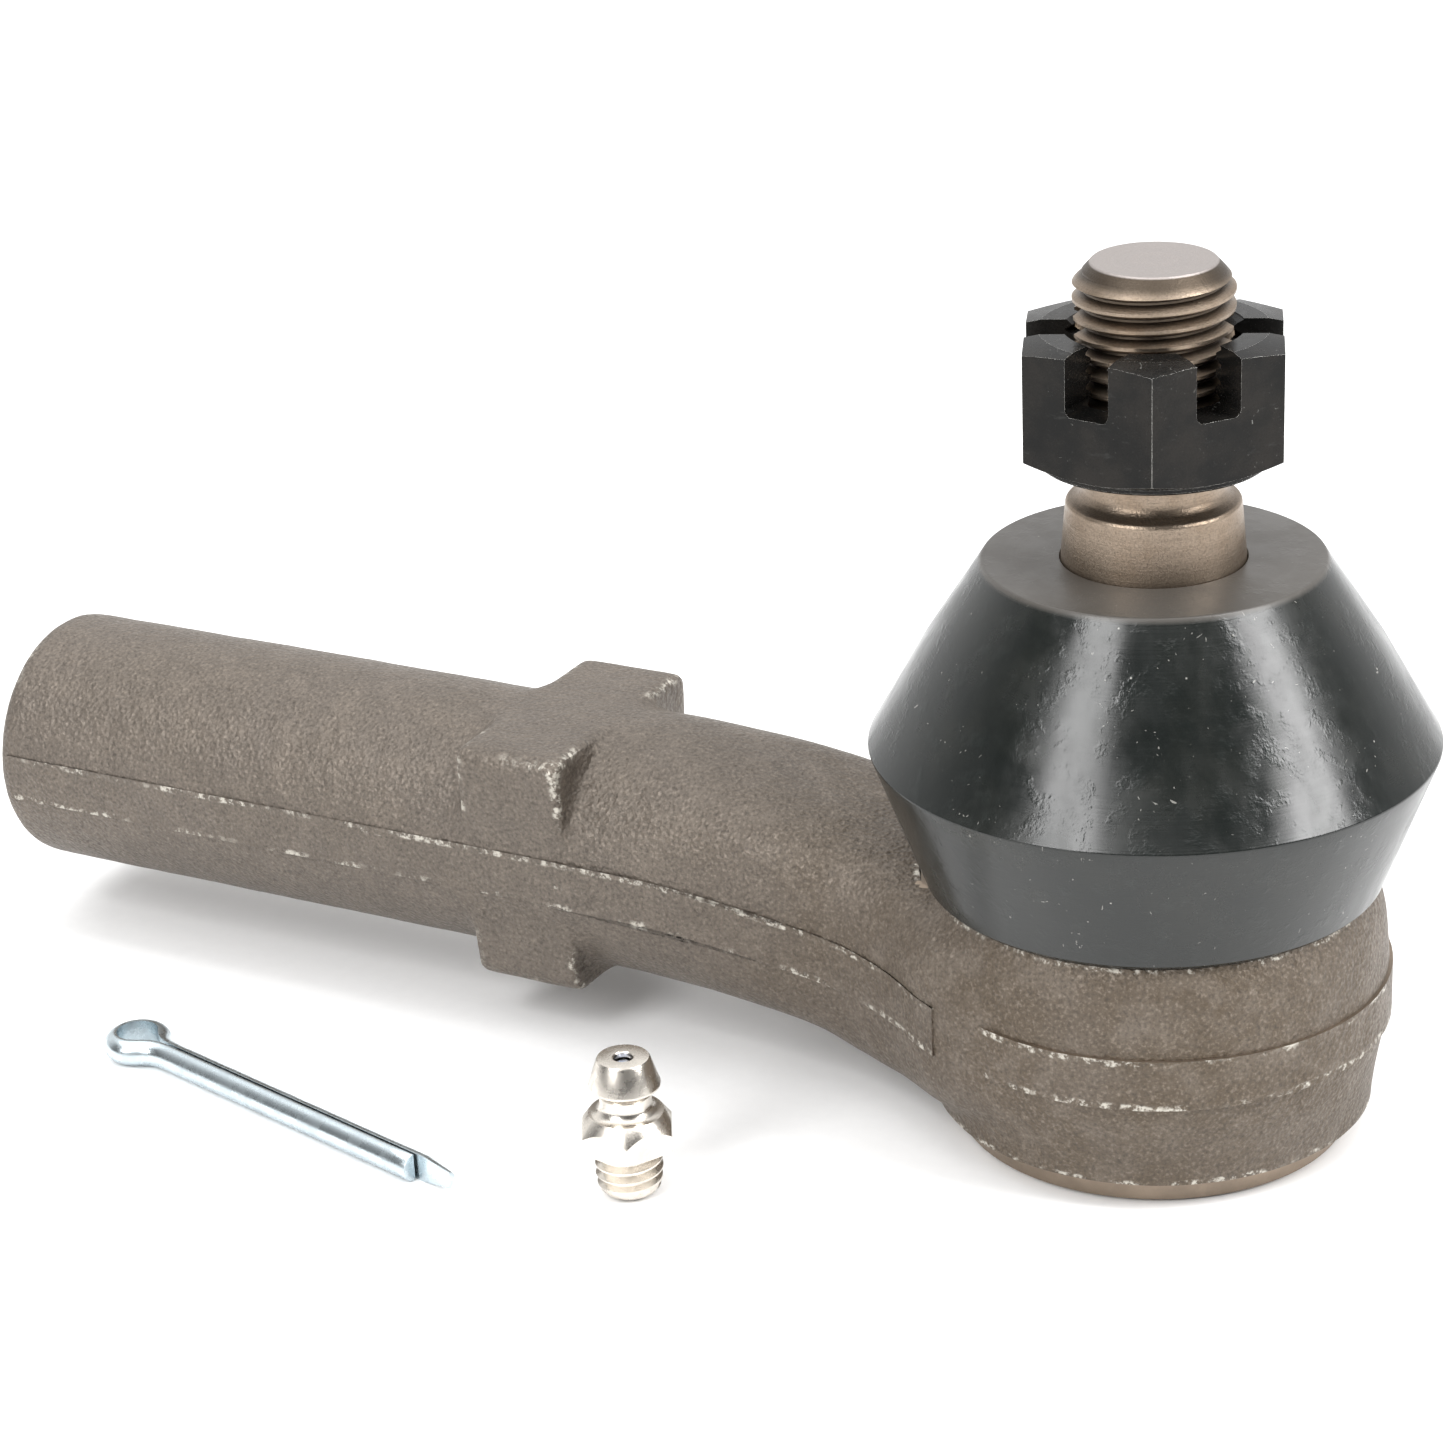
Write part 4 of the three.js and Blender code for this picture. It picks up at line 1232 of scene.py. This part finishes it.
def studio_world(forward):
    """A dim room behind the camera that brightens towards the paper sweep behind the part."""
    world = bpy.data.worlds.new("Studio")
    world.use_nodes = True
    tree = world.node_tree
    direction = tree.nodes.new("ShaderNodeTexCoord").outputs["Generated"]
    facing = tree.nodes.new("ShaderNodeVectorMath")
    facing.operation = "DOT_PRODUCT"
    facing.inputs[1].default_value = Vector((forward.x, forward.y, 0)).normalized()
    tree.links.new(direction, facing.inputs[0])
    level = tree.nodes.new("ShaderNodeMapRange")
    level.interpolation_type = "SMOOTHSTEP"
    for socket, number in zip(level.inputs[1:5], (-0.2, 0.7, 0.10, 1.1)):
        socket.default_value = number
    tree.links.new(facing.outputs["Value"], level.inputs[0])
    background = tree.nodes["Background"]
    background.inputs["Color"].default_value = (1, 1, 1, 1)
    tree.links.new(level.outputs[0], background.inputs["Strength"])
    return world


class SCENE_OT_tie_rod_stage(bpy.types.Operator):
    """Sets the camera, the pale floor and the soft studio light"""

    bl_idname = "scene.tie_rod_stage"
    bl_label = "Stage"

    def execute(self, context):
        stage = context.scene.tie_rod_stage
        aim = Vector((stage.aim_x, 0, BENCH + stage.aim_height))
        turn = stage.azimuth
        back = heading_to(turn, stage.elevation)
        deselect()
        bpy.ops.object.camera_add(location=aim + back * stage.distance)
        camera = bpy.context.object
        camera.name = "camera"
        camera.data.lens = stage.lens
        camera.data.sensor_width = 36
        camera.data.clip_start = 0.01
        look = (-back).to_track_quat("-Z", "Y").to_matrix()
        roll = Matrix.Rotation(stage.roll, 3, "Z")
        camera.rotation_euler = (look @ roll).to_euler()
        context.scene.camera = camera
        bpy.ops.mesh.primitive_plane_add(size=6, location=(0, 0, BENCH - 0.00002))
        floor = bpy.context.object
        floor.name = "floor"
        settle(floor)
        floor.data.materials.append(bench_paper())
        context.scene.world = studio_world(-back)
        context.scene.view_settings.view_transform = "Standard"
        deselect()
        bpy.ops.object.light_add(type="SUN")
        overhead = bpy.context.object
        overhead.name = "overhead"
        overhead.data.energy = stage.overhead
        overhead.data.angle = math.radians(80)
        middle = Vector((0, 0, BENCH + 0.045))
        box_light("left_box", middle, turn - math.radians(46), math.radians(36), stage.left_box)
        box_light("right_box", middle, turn + math.radians(66), math.radians(38), stage.right_box)
        return {"FINISHED"}


# ---- Panel ----

PIECES = ("forging", "socket", "stud", "boot", "nut", "pin", "fitting")


class VIEW3D_PT_tie_rod(bpy.types.Panel):
    """Lists the pieces and the stage"""

    bl_idname = "VIEW3D_PT_tie_rod"
    bl_label = "Tie Rod End"
    bl_space_type = "VIEW_3D"
    bl_region_type = "UI"
    bl_category = "Tie Rod End"

    def draw(self, context):
        for piece in PIECES:
            self.layout.operator("mesh.tie_rod_" + piece)
            sizes = getattr(context.scene, "tie_rod_" + piece, None)
            for name in getattr(sizes, "__annotations__", ()):
                self.layout.prop(sizes, name)
        self.layout.operator("scene.tie_rod_stage")
        for group in (context.scene.tie_rod_stage, context.scene.tie_rod_colours):
            for name in group.__annotations__:
                self.layout.prop(group, name)


GROUPS = {
    "tie_rod_forging": ForgingSizes,
    "tie_rod_stud": StudSizes,
    "tie_rod_boot": BootSizes,
    "tie_rod_nut": NutSizes,
    "tie_rod_pin": PinSizes,
    "tie_rod_fitting": FittingSizes,
    "tie_rod_colours": Colours,
    "tie_rod_stage": StageSettings,
}
OPERATORS = (
    MESH_OT_tie_rod_forging, MESH_OT_tie_rod_socket, MESH_OT_tie_rod_stud, MESH_OT_tie_rod_boot,
    MESH_OT_tie_rod_nut, MESH_OT_tie_rod_pin, MESH_OT_tie_rod_fitting, SCENE_OT_tie_rod_stage,
)


def register():
    for name, group in GROUPS.items():
        bpy.utils.register_class(group)
        setattr(bpy.types.Scene, name, PointerProperty(type=group))
    for operator in OPERATORS:
        bpy.utils.register_class(operator)
    bpy.utils.register_class(VIEW3D_PT_tie_rod)


def unregister():
    bpy.utils.unregister_class(VIEW3D_PT_tie_rod)
    for operator in reversed(OPERATORS):
        bpy.utils.unregister_class(operator)
    for name, group in reversed(GROUPS.items()):
        delattr(bpy.types.Scene, name)
        bpy.utils.unregister_class(group)


def main():
    register()
    bpy.ops.mesh.tie_rod_forging()
    bpy.ops.mesh.tie_rod_socket()
    bpy.ops.mesh.tie_rod_stud()
    bpy.ops.mesh.tie_rod_boot()
    bpy.ops.mesh.tie_rod_nut()
    bpy.ops.mesh.tie_rod_pin()
    bpy.ops.mesh.tie_rod_fitting()
    bpy.ops.scene.tie_rod_stage()


if __name__ == "__main__":
    main()
